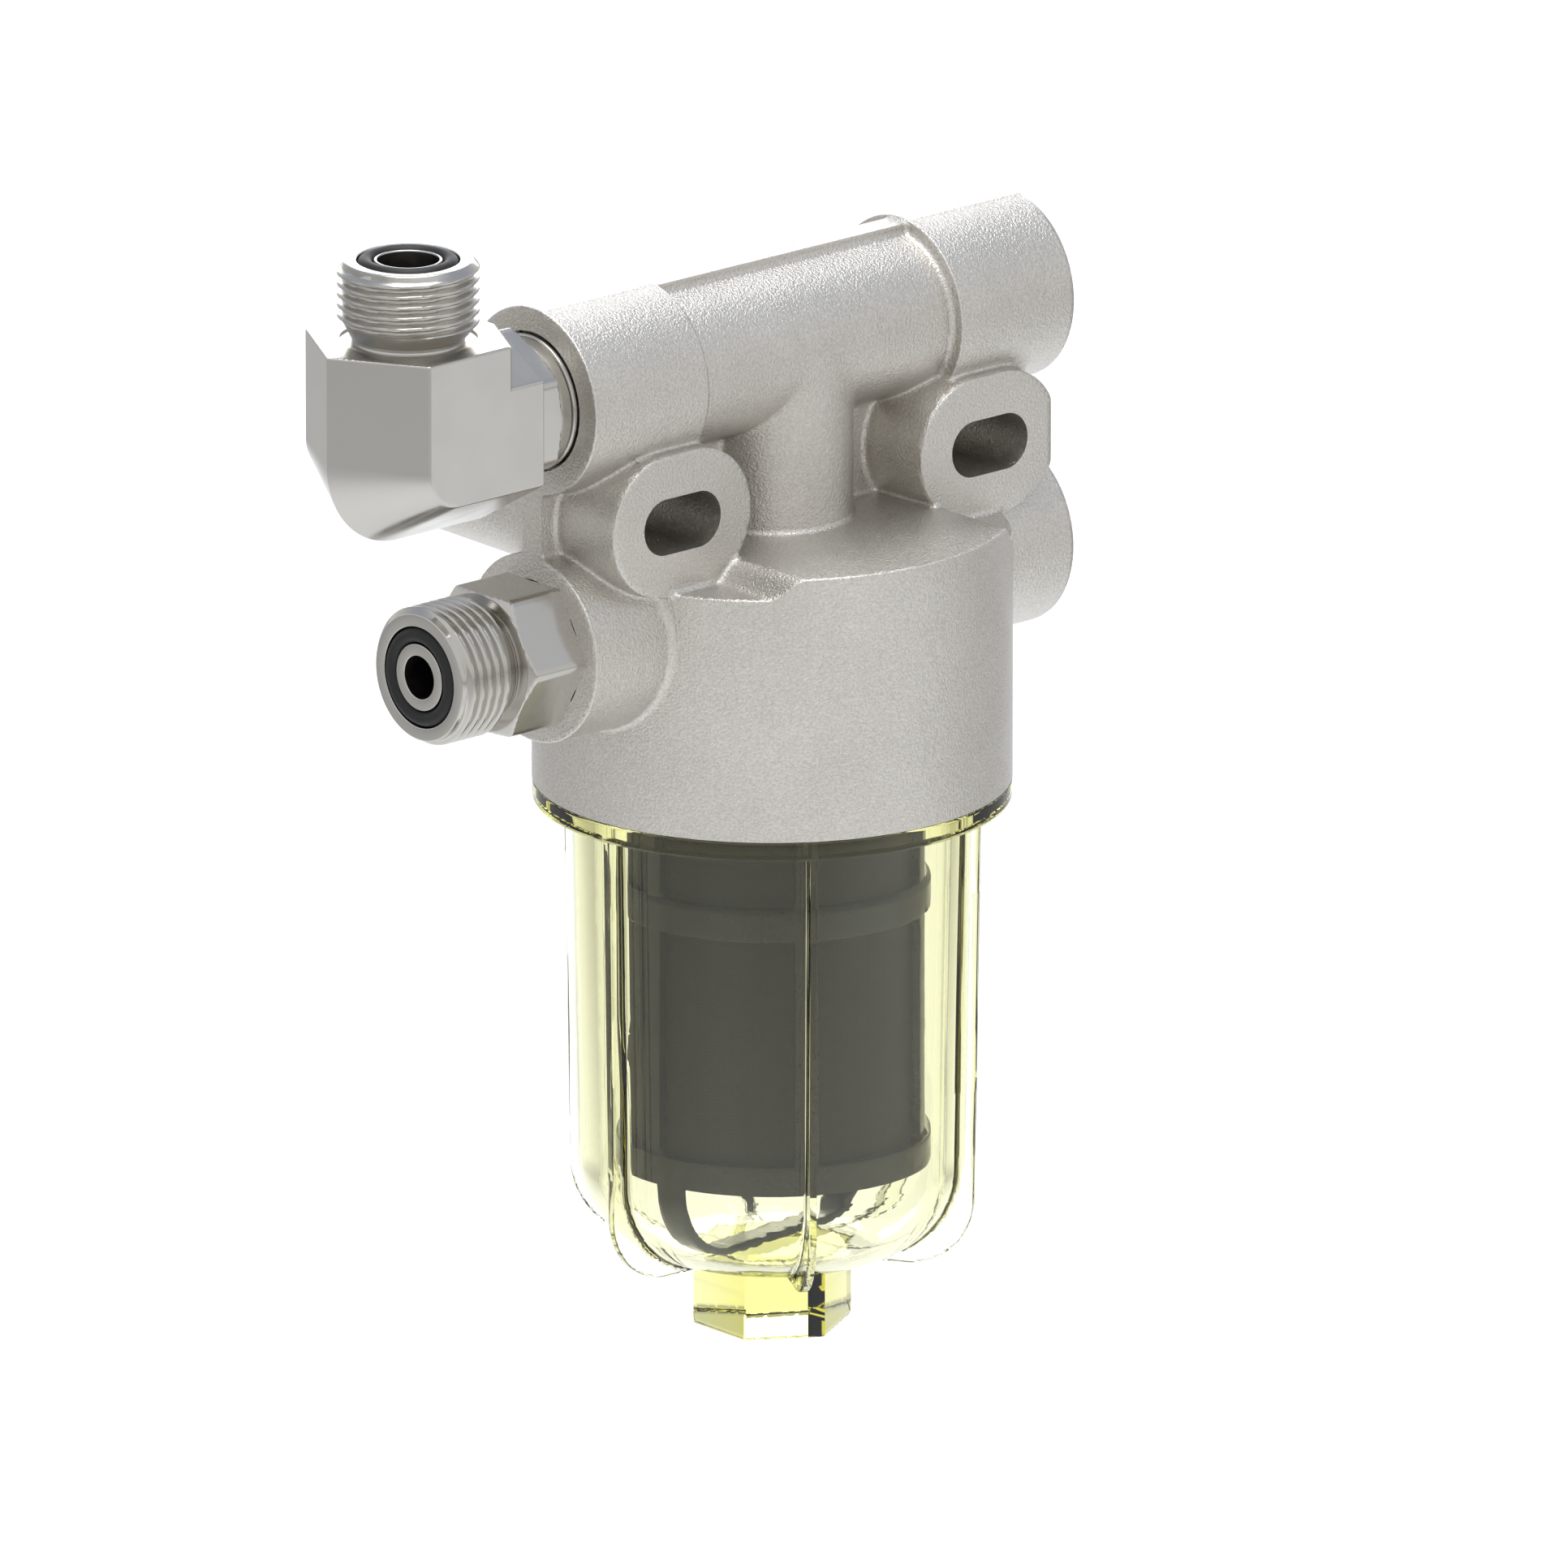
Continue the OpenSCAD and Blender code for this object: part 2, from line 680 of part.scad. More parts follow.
module elbow_block() {
    arm = elbow_flat + elbow_turn;
    flat_y = elbow_bar_r * cos(30);
    intersection() {
        union() {
            translate([0, 0, -elbow_turn]) linear_extrude(arm) bar_section();
            translate([-elbow_turn, 0, 0]) rotate([0, 90, 0]) rotate([0, 0, 180])
                linear_extrude(arm) bar_section();
            translate([-elbow_turn, 0, -elbow_turn]) rotate([90, 0, 0])
                rotate_extrude() corner_section();
        }
        translate([-2 * elbow_bar_r, -flat_y, -2 * elbow_bar_r])
            cube([4 * elbow_bar_r, 2 * flat_y, 4 * elbow_bar_r]);
    }
}

module elbow() {
    undercut_x = -spot_x + set_gap;
    color(steel_grey) translate([elbow_x, 0, upper_z]) difference() {
        union() {
            elbow_block();
            translate([0, 0, elbow_flat + hose_end_l]) hose_end(hose_end_l + elbow_flat);
            difference() {
                along_x() cylinder(r = stud_r, h = -elbow_x - port_x + stud_l);
                translate([undercut_x - elbow_x - seal_t, 0, 0]) along_x() difference() {
                    cylinder(r = stud_r + cut, h = seat_depth + seal_t);
                    translate([0, 0, -cut])
                        cylinder(r = undercut_r, h = seat_depth + seal_t + 2 * cut);
                }
            }
        }
        translate([0, 0, elbow_flat - elbow_spot_depth]) difference() {
            cylinder(d = elbow_spot_d, h = elbow_spot_depth + seam);
            translate([0, 0, -cut]) cylinder(d = hose_neck_d, h = elbow_spot_depth + 2 * cut);
        }
        translate([0, 0, -elbow_bore / 2])
            cylinder(d = elbow_bore, h = elbow_bore / 2 + elbow_flat + hose_end_l + cut);
        along_x() cylinder(d = stud_bore, h = -elbow_x);
    }
}

module elbow_locknut() {
    color(steel_grey) translate([elbow_shoulder_x + set_gap, 0, upper_z]) along_x()
        difference() {
            union() {
                hexagon_bar(nut_af, nut_hex_h - set_gap);
                cylinder(d = nut_collar_d,
                         h = nut_collar_end_x - elbow_shoulder_x - 2 * set_gap);
            }
            translate([0, 0, -cut])
                cylinder(d = port_thread_d, h = port_x + elbow_reach);
        }
}

module elbow_washer() {
    color(steel_grey) translate([nut_collar_end_x, 0, upper_z]) along_x() difference() {
        cylinder(d = washer_d, h = washer_t);
        translate([0, 0, -cut]) cylinder(d = port_thread_d, h = washer_t + 2 * cut);
    }
}

// The seal in a port's seat, drawn for the left port
module port_seal() {
    translate([-spot_x + seal_t / 2 + set_gap, 0, 0]) along_x()
        ring(seal_r, seal_t - set_gap);
}

module elbow_port_seal() {
    color(rubber_black) translate([0, 0, upper_z]) port_seal();
}

module elbow_face_seal() {
    color(rubber_black) translate([elbow_x, 0, elbow_end_z]) face_seal();
}

adapter_end_x = -port_x - adapter_hex_h - hose_end_l;

module adapter() {
    color(steel_grey) translate([0, 0, lower_z]) difference() {
        union() {
            translate([adapter_end_x, 0, 0]) rotate([0, -90, 0]) hose_end(hose_end_l + lap);
            translate([-port_x - adapter_hex_h, 0, 0]) along_x() intersection() {
                rotate([0, 0, 90]) hexagon_bar(adapter_af, adapter_hex_h);
                cylinder(r1 = adapter_af / 2, r2 = adapter_af / 2 + adapter_hex_h / tan(hex_chamfer),
                         h = adapter_hex_h);
            }
            translate([-port_x, 0, 0]) along_x() {
                cylinder(d = spot_d - 4 * run_gap, h = spot_depth);
                cylinder(r = undercut_r, h = spot_depth + seat_depth);
                translate([0, 0, spot_depth + seat_depth])
                    cylinder(r = stud_r, h = stud_l - spot_depth - seat_depth);
            }
        }
        translate([adapter_end_x - cut, 0, 0]) along_x()
            cylinder(d = adapter_bore, h = stud_l - port_x - adapter_end_x + 2 * cut);
    }
}

module adapter_port_seal() {
    color(rubber_black) translate([0, 0, lower_z]) port_seal();
}

module adapter_face_seal() {
    color(rubber_black) translate([adapter_end_x, 0, lower_z])
        rotate([0, -90, 0]) face_seal();
}

// A plug in a right-hand port: collar, hexagon socket, undercut and thread
module plug() {
    color(steel_grey) rotate([0, 0, 180]) translate([-port_x - plug_stand, 0, 0]) along_x()
        difference() {
            union() {
                cylinder(d = plug_collar_d, h = plug_stand + spot_depth);
                cylinder(r = undercut_r, h = plug_stand + spot_depth + seat_depth);
                translate([0, 0, plug_stand + spot_depth + seat_depth])
                    cylinder(r = stud_r, h = stud_l - spot_depth - seat_depth);
            }
            translate([0, 0, -cut]) hexagon_bar(plug_socket_af, plug_socket_depth + cut);
        }
}

module plug_seal() {
    color(rubber_black) rotate([0, 0, 180]) port_seal();
}

module upper_plug() {
    translate([0, 0, upper_z]) plug();
}

module upper_plug_seal() {
    translate([0, 0, upper_z]) plug_seal();
}

module lower_plug() {
    translate([0, 0, lower_z]) plug();
}

module lower_plug_seal() {
    translate([0, 0, lower_z]) plug_seal();
}

filter_head();
element_spigot();
bowl();
bowl_seal();
element_cage();
element_mesh();
element_end_cap();
element_seal();
elbow();
elbow_locknut();
elbow_washer();
elbow_port_seal();
elbow_face_seal();
adapter();
adapter_port_seal();
adapter_face_seal();
upper_plug();
upper_plug_seal();
lower_plug();
lower_plug_seal();
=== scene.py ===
"""A fuel prefilter: cast head, clear bowl, strainer element and two flat-faced hose fittings.

Sizes are in millimetres until a mesh is made. X runs along the ports, -Y is the front and Z is
the bowl's axis, with Z = 0 at the centres of the mounting slots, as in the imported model.
"""

import math

import bpy
import numpy as np
from mathutils import Matrix, Vector


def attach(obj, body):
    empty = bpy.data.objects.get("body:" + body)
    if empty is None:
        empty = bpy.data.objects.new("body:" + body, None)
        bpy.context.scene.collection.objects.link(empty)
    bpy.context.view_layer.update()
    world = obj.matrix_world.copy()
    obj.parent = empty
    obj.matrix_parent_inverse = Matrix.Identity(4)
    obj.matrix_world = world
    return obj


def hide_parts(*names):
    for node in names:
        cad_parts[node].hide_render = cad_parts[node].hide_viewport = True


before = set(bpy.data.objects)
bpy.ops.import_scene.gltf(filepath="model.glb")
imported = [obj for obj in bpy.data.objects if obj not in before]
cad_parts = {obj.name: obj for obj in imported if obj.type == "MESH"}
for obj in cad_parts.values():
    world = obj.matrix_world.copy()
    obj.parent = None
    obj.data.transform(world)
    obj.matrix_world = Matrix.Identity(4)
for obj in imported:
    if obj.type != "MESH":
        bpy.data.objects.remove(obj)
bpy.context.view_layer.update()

# The head is one aluminium sand casting: an upper tube with a port boss at each end, a neck, a
# round skirt, two lower port stubs and the thin web in the mould's parting plane. Its forms flow
# together in small fillets; only the ports, the skirt's bore and the port faces are machined.

MM = 0.001


def linear_colour(code):
    """sRGB hex to linear RGB with alpha 1: a straight part near black, else a power of 2.4."""
    parts = np.array([int(code[i:i + 2], 16) for i in (1, 3, 5)]) / 255
    low, high = parts / 12.92, ((parts + 0.055) / 1.055) ** 2.4
    return (*np.where(parts <= 0.04045, low, high).tolist(), 1.0)


def fillet_join(a, b, radius):
    """Distance to the union of a and b with a concave round of that radius where they meet.

    It is the radius, or the nearer distance if larger, less the length of the vector whose two
    parts are how far a and b fall short of the radius.
    """
    u, v = np.maximum(radius - a, 0), np.maximum(radius - b, 0)
    return np.maximum(radius, np.minimum(a, b)) - np.hypot(u, v)


def round_meet(a, b, radius):
    """Distance to the overlap of a and b with a convex round of that radius where they meet.

    It is the same with the signs turned: the farther distance, at most minus the radius, plus
    the length of the vector of how far a and b stand above minus the radius.
    """
    u, v = np.maximum(radius + a, 0), np.maximum(radius + b, 0)
    return np.minimum(-radius, np.maximum(a, b)) + np.hypot(u, v)


def slab(t, low, high):
    """Distance to the layer between two levels of t: how far t is from the middle, less half."""
    return np.abs(t - (low + high) / 2) - (high - low) / 2


def slope_of(distance, points, reach=0.004):
    """Unit gradient of a distance at points, from four samples at a tetrahedron's corners."""
    total = np.zeros_like(points)
    for corner in ((1, -1, -1), (-1, -1, 1), (-1, 1, -1), (1, 1, 1)):
        corner = np.array(corner, float)
        total += corner * distance(*(points + corner * reach).T)[:, None]
    return total / np.maximum(np.linalg.norm(total, axis=1, keepdims=True), 1e-12)


def contour(distance, low, high, step):
    """Mesh of the surface where distance(x, y, z) is zero, by dual contouring.

    On a grid of cubes, each grid edge that crosses the surface gives a point and a tangent
    plane. Each cube's vertex is the point that fits the planes of its edges best, so sharp edges
    stay sharp. Each crossed edge gives one face between the four cubes round it.
    Returns vertices and quads.
    """
    search_steps, least_share, pull, settle_steps = 5, 0.05, 0.02, 2
    axes = [np.arange(a, b + step, step) for a, b in zip(low, high)]
    x, y, z = np.meshgrid(*axes, indexing="ij")
    field = distance(x, y, z)
    inside = field < 0
    cells = np.array(field.shape) - 1
    strides = np.array([cells[1] * cells[2], cells[2], 1])
    corner = np.array([a[0] for a in axes])
    crossings = []
    for axis in range(3):
        first = [slice(None)] * 3
        last = [slice(None)] * 3
        first[axis], last[axis] = slice(None, -1), slice(1, None)
        starts = np.argwhere(inside[tuple(first)] != inside[tuple(last)])
        unit = np.eye(3, dtype=int)[axis]
        d0 = field[tuple(starts.T)]
        d1 = field[tuple((starts + unit).T)]
        t0, t1 = np.zeros(len(d0)), np.ones(len(d0))
        for _ in range(search_steps):
            t = t0 + (t1 - t0) * np.clip(d0 / (d0 - d1), least_share, 1 - least_share)
            points = corner + (starts + t[:, None] * unit) * step
            d = distance(*points.T)
            same = (d < 0) == (d0 < 0)
            t0, d0 = np.where(same, t, t0), np.where(same, d, d0)
            t1, d1 = np.where(same, t1, t), np.where(same, d1, d)
        leaving = inside[tuple(starts.T)]
        crossings.append((axis, starts, points, slope_of(distance, points), leaving))
    count = int(cells.prod())
    weight = np.zeros(count)
    centre = np.zeros((count, 3))
    shares = []
    for axis, starts, points, slopes, leaving in crossings:
        a, b = [i for i in range(3) if i != axis]
        around = []
        for da, db in ((0, 0), (1, 0), (1, 1), (0, 1)):
            cell = starts.copy()
            cell[:, a] -= da
            cell[:, b] -= db
            around.append(cell @ strides)
        around = np.stack(around, axis=1)
        shares.append((around, points, slopes, leaving, axis))
        for k in range(4):
            weight += np.bincount(around[:, k], minlength=count)
            for i in range(3):
                centre[:, i] += np.bincount(around[:, k], points[:, i], minlength=count)
    used = np.flatnonzero(weight)
    place = np.full(count, -1)
    place[used] = np.arange(len(used))
    centre = centre[used] / weight[used, None]
    left = np.zeros((len(used), 3, 3))
    right = np.zeros((len(used), 3))
    faces = []
    for around, points, slopes, leaving, axis in shares:
        around = place[around]
        for k in range(4):
            index = around[:, k]
            gap = ((points - centre[index]) * slopes).sum(1)
            for i in range(3):
                right[:, i] += np.bincount(index, slopes[:, i] * gap, minlength=len(used))
                for j in range(3):
                    left[:, i, j] += np.bincount(index, slopes[:, i] * slopes[:, j],
                                                 minlength=len(used))
        turn = leaving if axis != 1 else ~leaving
        faces.append(np.where(turn[:, None], around, around[:, ::-1]))
    # A weak pull to the centre settles the flat places, where the planes leave a vertex free.
    shift = np.linalg.solve(left + pull * np.eye(3), right[:, :, None])[:, :, 0]
    vertices = centre + np.clip(shift, -step, step)
    for _ in range(settle_steps):
        vertices -= distance(*vertices.T)[:, None] * slope_of(distance, vertices)
    return vertices, np.concatenate(faces)


def show(name, mesh, body, nodes):
    """Puts a mesh in the scene as a piece that rides on a body and stands for CAD nodes."""
    piece = bpy.data.objects.new(name, mesh)
    bpy.context.scene.collection.objects.link(piece)
    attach(piece, body)
    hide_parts(*nodes)
    return piece


def solid_mesh(name, distance, low, high, step):
    """A mesh from a distance, with the distance's own slopes as shading normals.

    Each face corner takes its slope a little inside the face, so sharp edges shade sharply.
    """
    inset = 0.25
    vertices, quads = contour(distance, low, high, step)
    mesh = bpy.data.meshes.new(name)
    mesh.from_pydata(vertices * MM, [], quads.tolist())
    quads = np.empty(len(mesh.loops), int)
    mesh.loops.foreach_get("vertex_index", quads)
    corners = vertices[quads.reshape(-1, 4)]
    near = corners + inset * (corners.mean(axis=1, keepdims=True) - corners)
    slopes = slope_of(distance, near.reshape(-1, 3))
    mesh.shade_smooth()
    mesh.normals_split_custom_set(slopes.tolist())
    return mesh


HEAD_HALF = 46.7
UPPER_Z, LOWER_Z = 18.65, -18.65
PORT_BOSS_R, PORT_BOSS_L, TUBE_R, TUBE_HALF, NECK_R, NECK_Z = 14.0, 22.1, 12.0, 40.0, 11.8, -12.0
WEB_HALF, CREST_Z = 2.0, 32.25
CAST_FILLET, CAST_EDGE, BOSS_EDGE = 0.9, 0.35, 0.35
SKIRT_R, RIM_Z, LAND_Z, LAND_STEP = 35.0, -46.9, -7.3, 3.1
LAND_HALF, RAMP_W, ROOF_Z = 19.2, 4.8, -14.5
SLOT_X, SLOT_R, SLOT_HALF = 30.0, 4.2, 3.2
BOSS_R, BOSS_HALF, BOSS_FLAT = 10.65, 2.75, 12.2
BOSS_FRONT, BOSS_REAR, FRONT_SLOPE, REAR_SLOPE, REAR_LOSS = 14.0, 36.5, 0.0349, 0.0209, 0.5
SPOT_R, SPOT_DEPTH, SEAT_R, SEAT_DEPTH = 10.4, 1.2, 9.5, 2.4
PORT_R, PORT_DEPTH, PASSAGE_R, RISER_R, LOWER_REACH = 8.0, 14.0, 6.0, 7.0, 18.2
SPOT_X = HEAD_HALF - SPOT_DEPTH
BORE_R, THREAD_R, THREAD_TOP_Z = 29.5, 31.3, -36.9
CORE_R, CORE_Z, RISER_RUN = 13.0, -31.0, 5.0
HEAD_LOW, HEAD_HIGH, HEAD_STEP = (-48.1, -36.4, -48.3), (48.1, 38.2, 34.1), 0.8


def mounting_boss(x, y, z):
    """A slotted boss: a stadium in X and Z whose radius shrinks by the draft away from the web."""
    outer = np.where(y < 0, BOSS_R + (y + BOSS_FRONT) * FRONT_SLOPE,
                     BOSS_R - REAR_LOSS + (BOSS_REAR - y) * REAR_SLOPE)
    along = np.maximum(np.abs(x) - BOSS_HALF, 0)
    return round_meet(np.hypot(along, z) - outer, slab(y, -BOSS_FRONT, BOSS_REAR), BOSS_EDGE)


def port_hole(side, height, reach):
    """A port on the right (1) or left (-1): spotface, seal seat, thread and passage.

    Each is a cylinder along X from the end face to its own depth, and the hole is their union.
    """
    def hole(x, y, z):
        depth = HEAD_HALF - side * x
        radius = np.hypot(y, z - height)
        cuts = [np.maximum(radius - SPOT_R, depth - SPOT_DEPTH),
                np.maximum(radius - SEAT_R, depth - SPOT_DEPTH - SEAT_DEPTH),
                np.maximum(radius - PORT_R, depth - SPOT_DEPTH - PORT_DEPTH),
                np.maximum(radius - PASSAGE_R, depth - reach)]
        return np.minimum.reduce(cuts)
    return hole


PORT_HOLES = [port_hole(1, UPPER_Z, HEAD_HALF), port_hole(-1, UPPER_Z, HEAD_HALF),
              port_hole(1, LOWER_Z, LOWER_REACH), port_hole(-1, LOWER_Z, LOWER_REACH)]


def head_distance(x, y, z):
    """The whole casting with its fillets, less the machined holes.

    Tube, bosses, neck, skirt and stubs are cylinders between two levels, and the web is a thin
    slab. The skirt's top is level in the middle and falls beyond it by half a cosine wave.
    """
    rho = np.hypot(x, y)
    along = np.abs(x)
    ramp = np.clip((along - LAND_HALF) / RAMP_W, 0, 1)
    top = LAND_Z - LAND_STEP * (1 - np.cos(np.pi * ramp)) / 2
    skirt = round_meet(rho - SKIRT_R, z - top, CAST_EDGE)
    skirt = np.maximum(skirt, RIM_Z - z)
    neck = np.maximum(rho - NECK_R, slab(z, NECK_Z, UPPER_Z))
    web = np.maximum(np.abs(y) - WEB_HALF, slab(z, LOWER_Z, CREST_Z))
    web = round_meet(np.maximum(web, along - HEAD_HALF), z - CREST_Z, CAST_EDGE)
    tube_radius = np.hypot(y, z - UPPER_Z)
    tube = np.maximum(tube_radius - TUBE_R, along - TUBE_HALF)
    bosses = round_meet(tube_radius - PORT_BOSS_R,
                        slab(along, HEAD_HALF - PORT_BOSS_L, HEAD_HALF), CAST_EDGE)
    stubs = round_meet(np.hypot(y, z - LOWER_Z) - PORT_BOSS_R,
                       slab(along, LAND_HALF, HEAD_HALF), CAST_EDGE)
    left = mounting_boss(x + SLOT_X, y, z)
    right = round_meet(mounting_boss(x - SLOT_X, y, z), x - SLOT_X - BOSS_FLAT, BOSS_EDGE)
    body = fillet_join(tube, bosses, CAST_FILLET)
    for other in (neck, web, skirt, stubs, left, right):
        body = fillet_join(body, other, CAST_FILLET)
    body = np.maximum(body, along - HEAD_HALF)
    core = np.maximum(rho - CORE_R, CORE_Z - z)
    bore = np.maximum(np.minimum(rho - BORE_R, np.maximum(rho - THREAD_R, z - THREAD_TOP_Z)),
                      z - ROOF_Z)
    holes = [np.maximum(bore, -core),
             np.maximum(rho - RISER_R, slab(z, CORE_Z - RISER_RUN, UPPER_Z))]
    for side in (-1, 1):
        across = np.maximum(np.abs(x - side * SLOT_X) - SLOT_HALF, 0)
        holes.append(np.hypot(across, z) - SLOT_R)
    holes += [hole(x, y, z) for hole in PORT_HOLES]
    return np.maximum(body, -np.minimum.reduce(holes))


head_mesh = solid_mesh("head_casting", head_distance, HEAD_LOW, HEAD_HIGH, HEAD_STEP)
head = show("head_casting", head_mesh, "head", ["filter_head"])


def add(tree, kind, inputs=(), **settings):
    """Adds a node with its settings; inputs gives values, or sockets to link, by input name."""
    made = tree.nodes.new(kind)
    for key, value in settings.items():
        setattr(made, key, value)
    for key, value in dict(inputs).items():
        if isinstance(value, bpy.types.NodeSocket):
            tree.links.new(value, made.inputs[key])
        else:
            made.inputs[key].default_value = value
    return made


def finish(name, **values):
    """A new material: its node tree, its shader with those values, and Object coordinates."""
    material = bpy.data.materials.new(name)
    material.use_nodes = True
    tree = material.node_tree
    shader = tree.nodes["Principled BSDF"]
    for key, value in values.items():
        shader.inputs[key.replace("_", " ")].default_value = value
    place = add(tree, "ShaderNodeTexCoord").outputs["Object"]
    return material, tree, shader, place


# Peened sand-cast aluminium: a satin metal with a fine grain all over, about 0.3 mm wide, drawn
# at 0.4 mm so that it shows, over shallow waves a few millimetres long. The grain breaks the
# reflections into sparkle where they change fast, as on the tops, and leaves the sides even.
cast, tree, shader, place = finish("peened_cast_aluminium", Metallic=1.0, Roughness=0.38,
                                   Specular_Tint=(0.9, 0.9, 0.93, 1.0))
GRAIN, WAVES, PATCHES = 0.4, 3.2, 14.0
grain = add(tree, "ShaderNodeTexNoise", {"Vector": place, "Scale": 1 / (GRAIN * MM), "Detail": 2.0,
                                         "Roughness": 0.7})
waves = add(tree, "ShaderNodeTexNoise", {"Vector": place, "Scale": 1 / (WAVES * MM), "Detail": 3.0})
patches = add(tree, "ShaderNodeTexNoise", {"Vector": place, "Scale": 1 / (PATCHES * MM),
                                           "Detail": 2.0})
tone = add(tree, "ShaderNodeMapRange", {"Value": patches.outputs["Fac"], "From Min": 0.3,
                                        "From Max": 0.7, "To Min": 0.93, "To Max": 1.0})
pits = add(tree, "ShaderNodeMapRange", {"Value": grain.outputs["Fac"], "From Min": 0.32,
                                        "From Max": 0.68, "To Min": 0.86, "To Max": 1.08})
tone = add(tree, "ShaderNodeMath", {0: tone.outputs["Result"], 1: pits.outputs["Result"]},
           operation="MULTIPLY")
tint = add(tree, "ShaderNodeMix", {"Factor": 1.0, "A": linear_colour("#dcd8d1"),
                                   "B": tone.outputs["Value"]},
           data_type="RGBA", blend_type="MULTIPLY")
bump = add(tree, "ShaderNodeBump", {"Height": waves.outputs["Fac"], "Strength": 0.5,
                                    "Distance": 0.12 * MM})
bump = add(tree, "ShaderNodeBump", {"Height": grain.outputs["Fac"], "Strength": 1.0,
                                    "Distance": 0.17 * MM, "Normal": bump.outputs["Normal"]})
tree.links.new(tint.outputs["Result"], shader.inputs["Base Color"])
tree.links.new(bump.outputs["Normal"], shader.inputs["Normal"])
head.data.materials.append(cast)

# The spigot is a turned steel tube, zinc plated and pressed up into the head's core. The element
# pushes onto it.
steel, tree, shader, place = finish("zinc_plated_steel", Metallic=1.0, Roughness=0.2,
                                    Base_Color=linear_colour("#c7c4be"))
# Bright zinc plate on turned steel: nearly a mirror, with faint clouds 8 mm wide in its gloss.
CLOUDS = 8.0
clouds = add(tree, "ShaderNodeTexNoise", {"Vector": place, "Scale": 1 / (CLOUDS * MM),
                                          "Detail": 2.0})
gloss = add(tree, "ShaderNodeMapRange", {"Value": clouds.outputs["Fac"], "From Min": 0.3,
                                         "From Max": 0.7, "To Min": 0.17, "To Max": 0.24})
tree.links.new(gloss.outputs["Result"], shader.inputs["Roughness"])

PER_CORNER, MOST_CUT = 4, 0.4


def soften(points, radius):
    """Rounds each corner of a closed (r, z) outline with a short quadratic curve.

    A corner is cut back by the radius, or by MOST_CUT of its shorter side, and a curve of
    PER_CORNER points runs between the two cuts with the corner as its control point.
    """
    points = np.asarray(points, float)
    before, after = np.roll(points, 1, axis=0) - points, np.roll(points, -1, axis=0) - points
    lengths = [np.linalg.norm(side, axis=1, keepdims=True) for side in (before, after)]
    cut = np.minimum(radius, MOST_CUT * np.minimum(*lengths))
    first, last = points + before / lengths[0] * cut, points + after / lengths[1] * cut
    t = np.linspace(0, 1, PER_CORNER)[None, :, None]
    curve = ((1 - t) ** 2 * first[:, None] + 2 * t * (1 - t) * points[:, None]
             + t ** 2 * last[:, None])
    return curve.reshape(-1, 2)


def turned_mesh(name, outline, columns=96, across=None, place=(0, 0, 0), axis="z", closed=True):
    """An (r, z) outline carried round an axis at a place: r times the angle's cosine and sine.

    A closed outline makes a ring. An open one starts and ends near the axis, and each end is
    drawn in to one point there. across(r, z, angle) may change each point's radius, as for a
    thread or a hexagon. The axis is z, or x for a piece whose z runs along the ports.
    """
    outline = np.asarray(outline, float)
    angle = np.arange(columns) * 2 * np.pi / columns
    r = np.repeat(outline[:, :1], columns, axis=1)
    z = np.repeat(outline[:, 1:], columns, axis=1)
    angle = np.repeat(angle[None], len(outline), axis=0)
    if across is not None:
        r = across(r, z, angle)
    points = np.stack([r * np.cos(angle), r * np.sin(angle), z], axis=-1)
    if axis == "x":
        points = points[..., [2, 0, 1]]
    rows = len(outline)
    index = np.arange(rows * columns).reshape(rows, columns)
    down, aside = np.roll(index, -1, axis=0), np.roll(index, -1, axis=1)
    quads = np.stack([index, aside, np.roll(down, -1, axis=1), down], axis=-1)
    faces = (quads if closed else quads[:-1]).reshape(-1, 4).tolist()
    points = points.reshape(-1, 3)
    if not closed:
        ends = [points[index[0]].mean(axis=0), points[index[-1]].mean(axis=0)]
        first, last = len(points), len(points) + 1
        points = np.concatenate([points, ends])
        faces += np.stack([aside[0], index[0], np.full(columns, first)], axis=1).tolist()
        faces += np.stack([index[-1], aside[-1], np.full(columns, last)], axis=1).tolist()
    mesh = bpy.data.meshes.new(name)
    mesh.from_pydata((points + place) * MM, [], faces)
    mesh.shade_smooth()
    mesh.set_sharp_from_angle(angle=math.radians(35))
    return mesh


def even_shading(piece):
    """Lets large faces set the shading, so that flat faces look flat beside small rounds."""
    piece.modifiers.new("even_shading", "WEIGHTED_NORMAL").keep_sharp = True


SPIGOT_R, SPIGOT_BORE, SPIGOT_L, SPIGOT_IN, SPIGOT_PLAY = 7.0, 5.2, 14.0, 9.0, 0.05
SHOULDER_R, SHOULDER_T, TURNED_EDGE = 9.5, 2.0, 0.3
spigot_outline = soften([(SPIGOT_BORE, -SPIGOT_L), (SPIGOT_R, -SPIGOT_L),
                         (SPIGOT_R, -SHOULDER_T), (SHOULDER_R, -SHOULDER_T), (SHOULDER_R, 0),
                         (RISER_R - SPIGOT_PLAY, 0), (RISER_R - SPIGOT_PLAY, SPIGOT_IN),
                         (SPIGOT_BORE, SPIGOT_IN)], TURNED_EDGE)
spigot = show("spigot_tube", turned_mesh("spigot_tube", spigot_outline, place=(0, 0, CORE_Z)),
              "head", ["element_spigot"])
even_shading(spigot)
spigot.data.materials.append(steel)

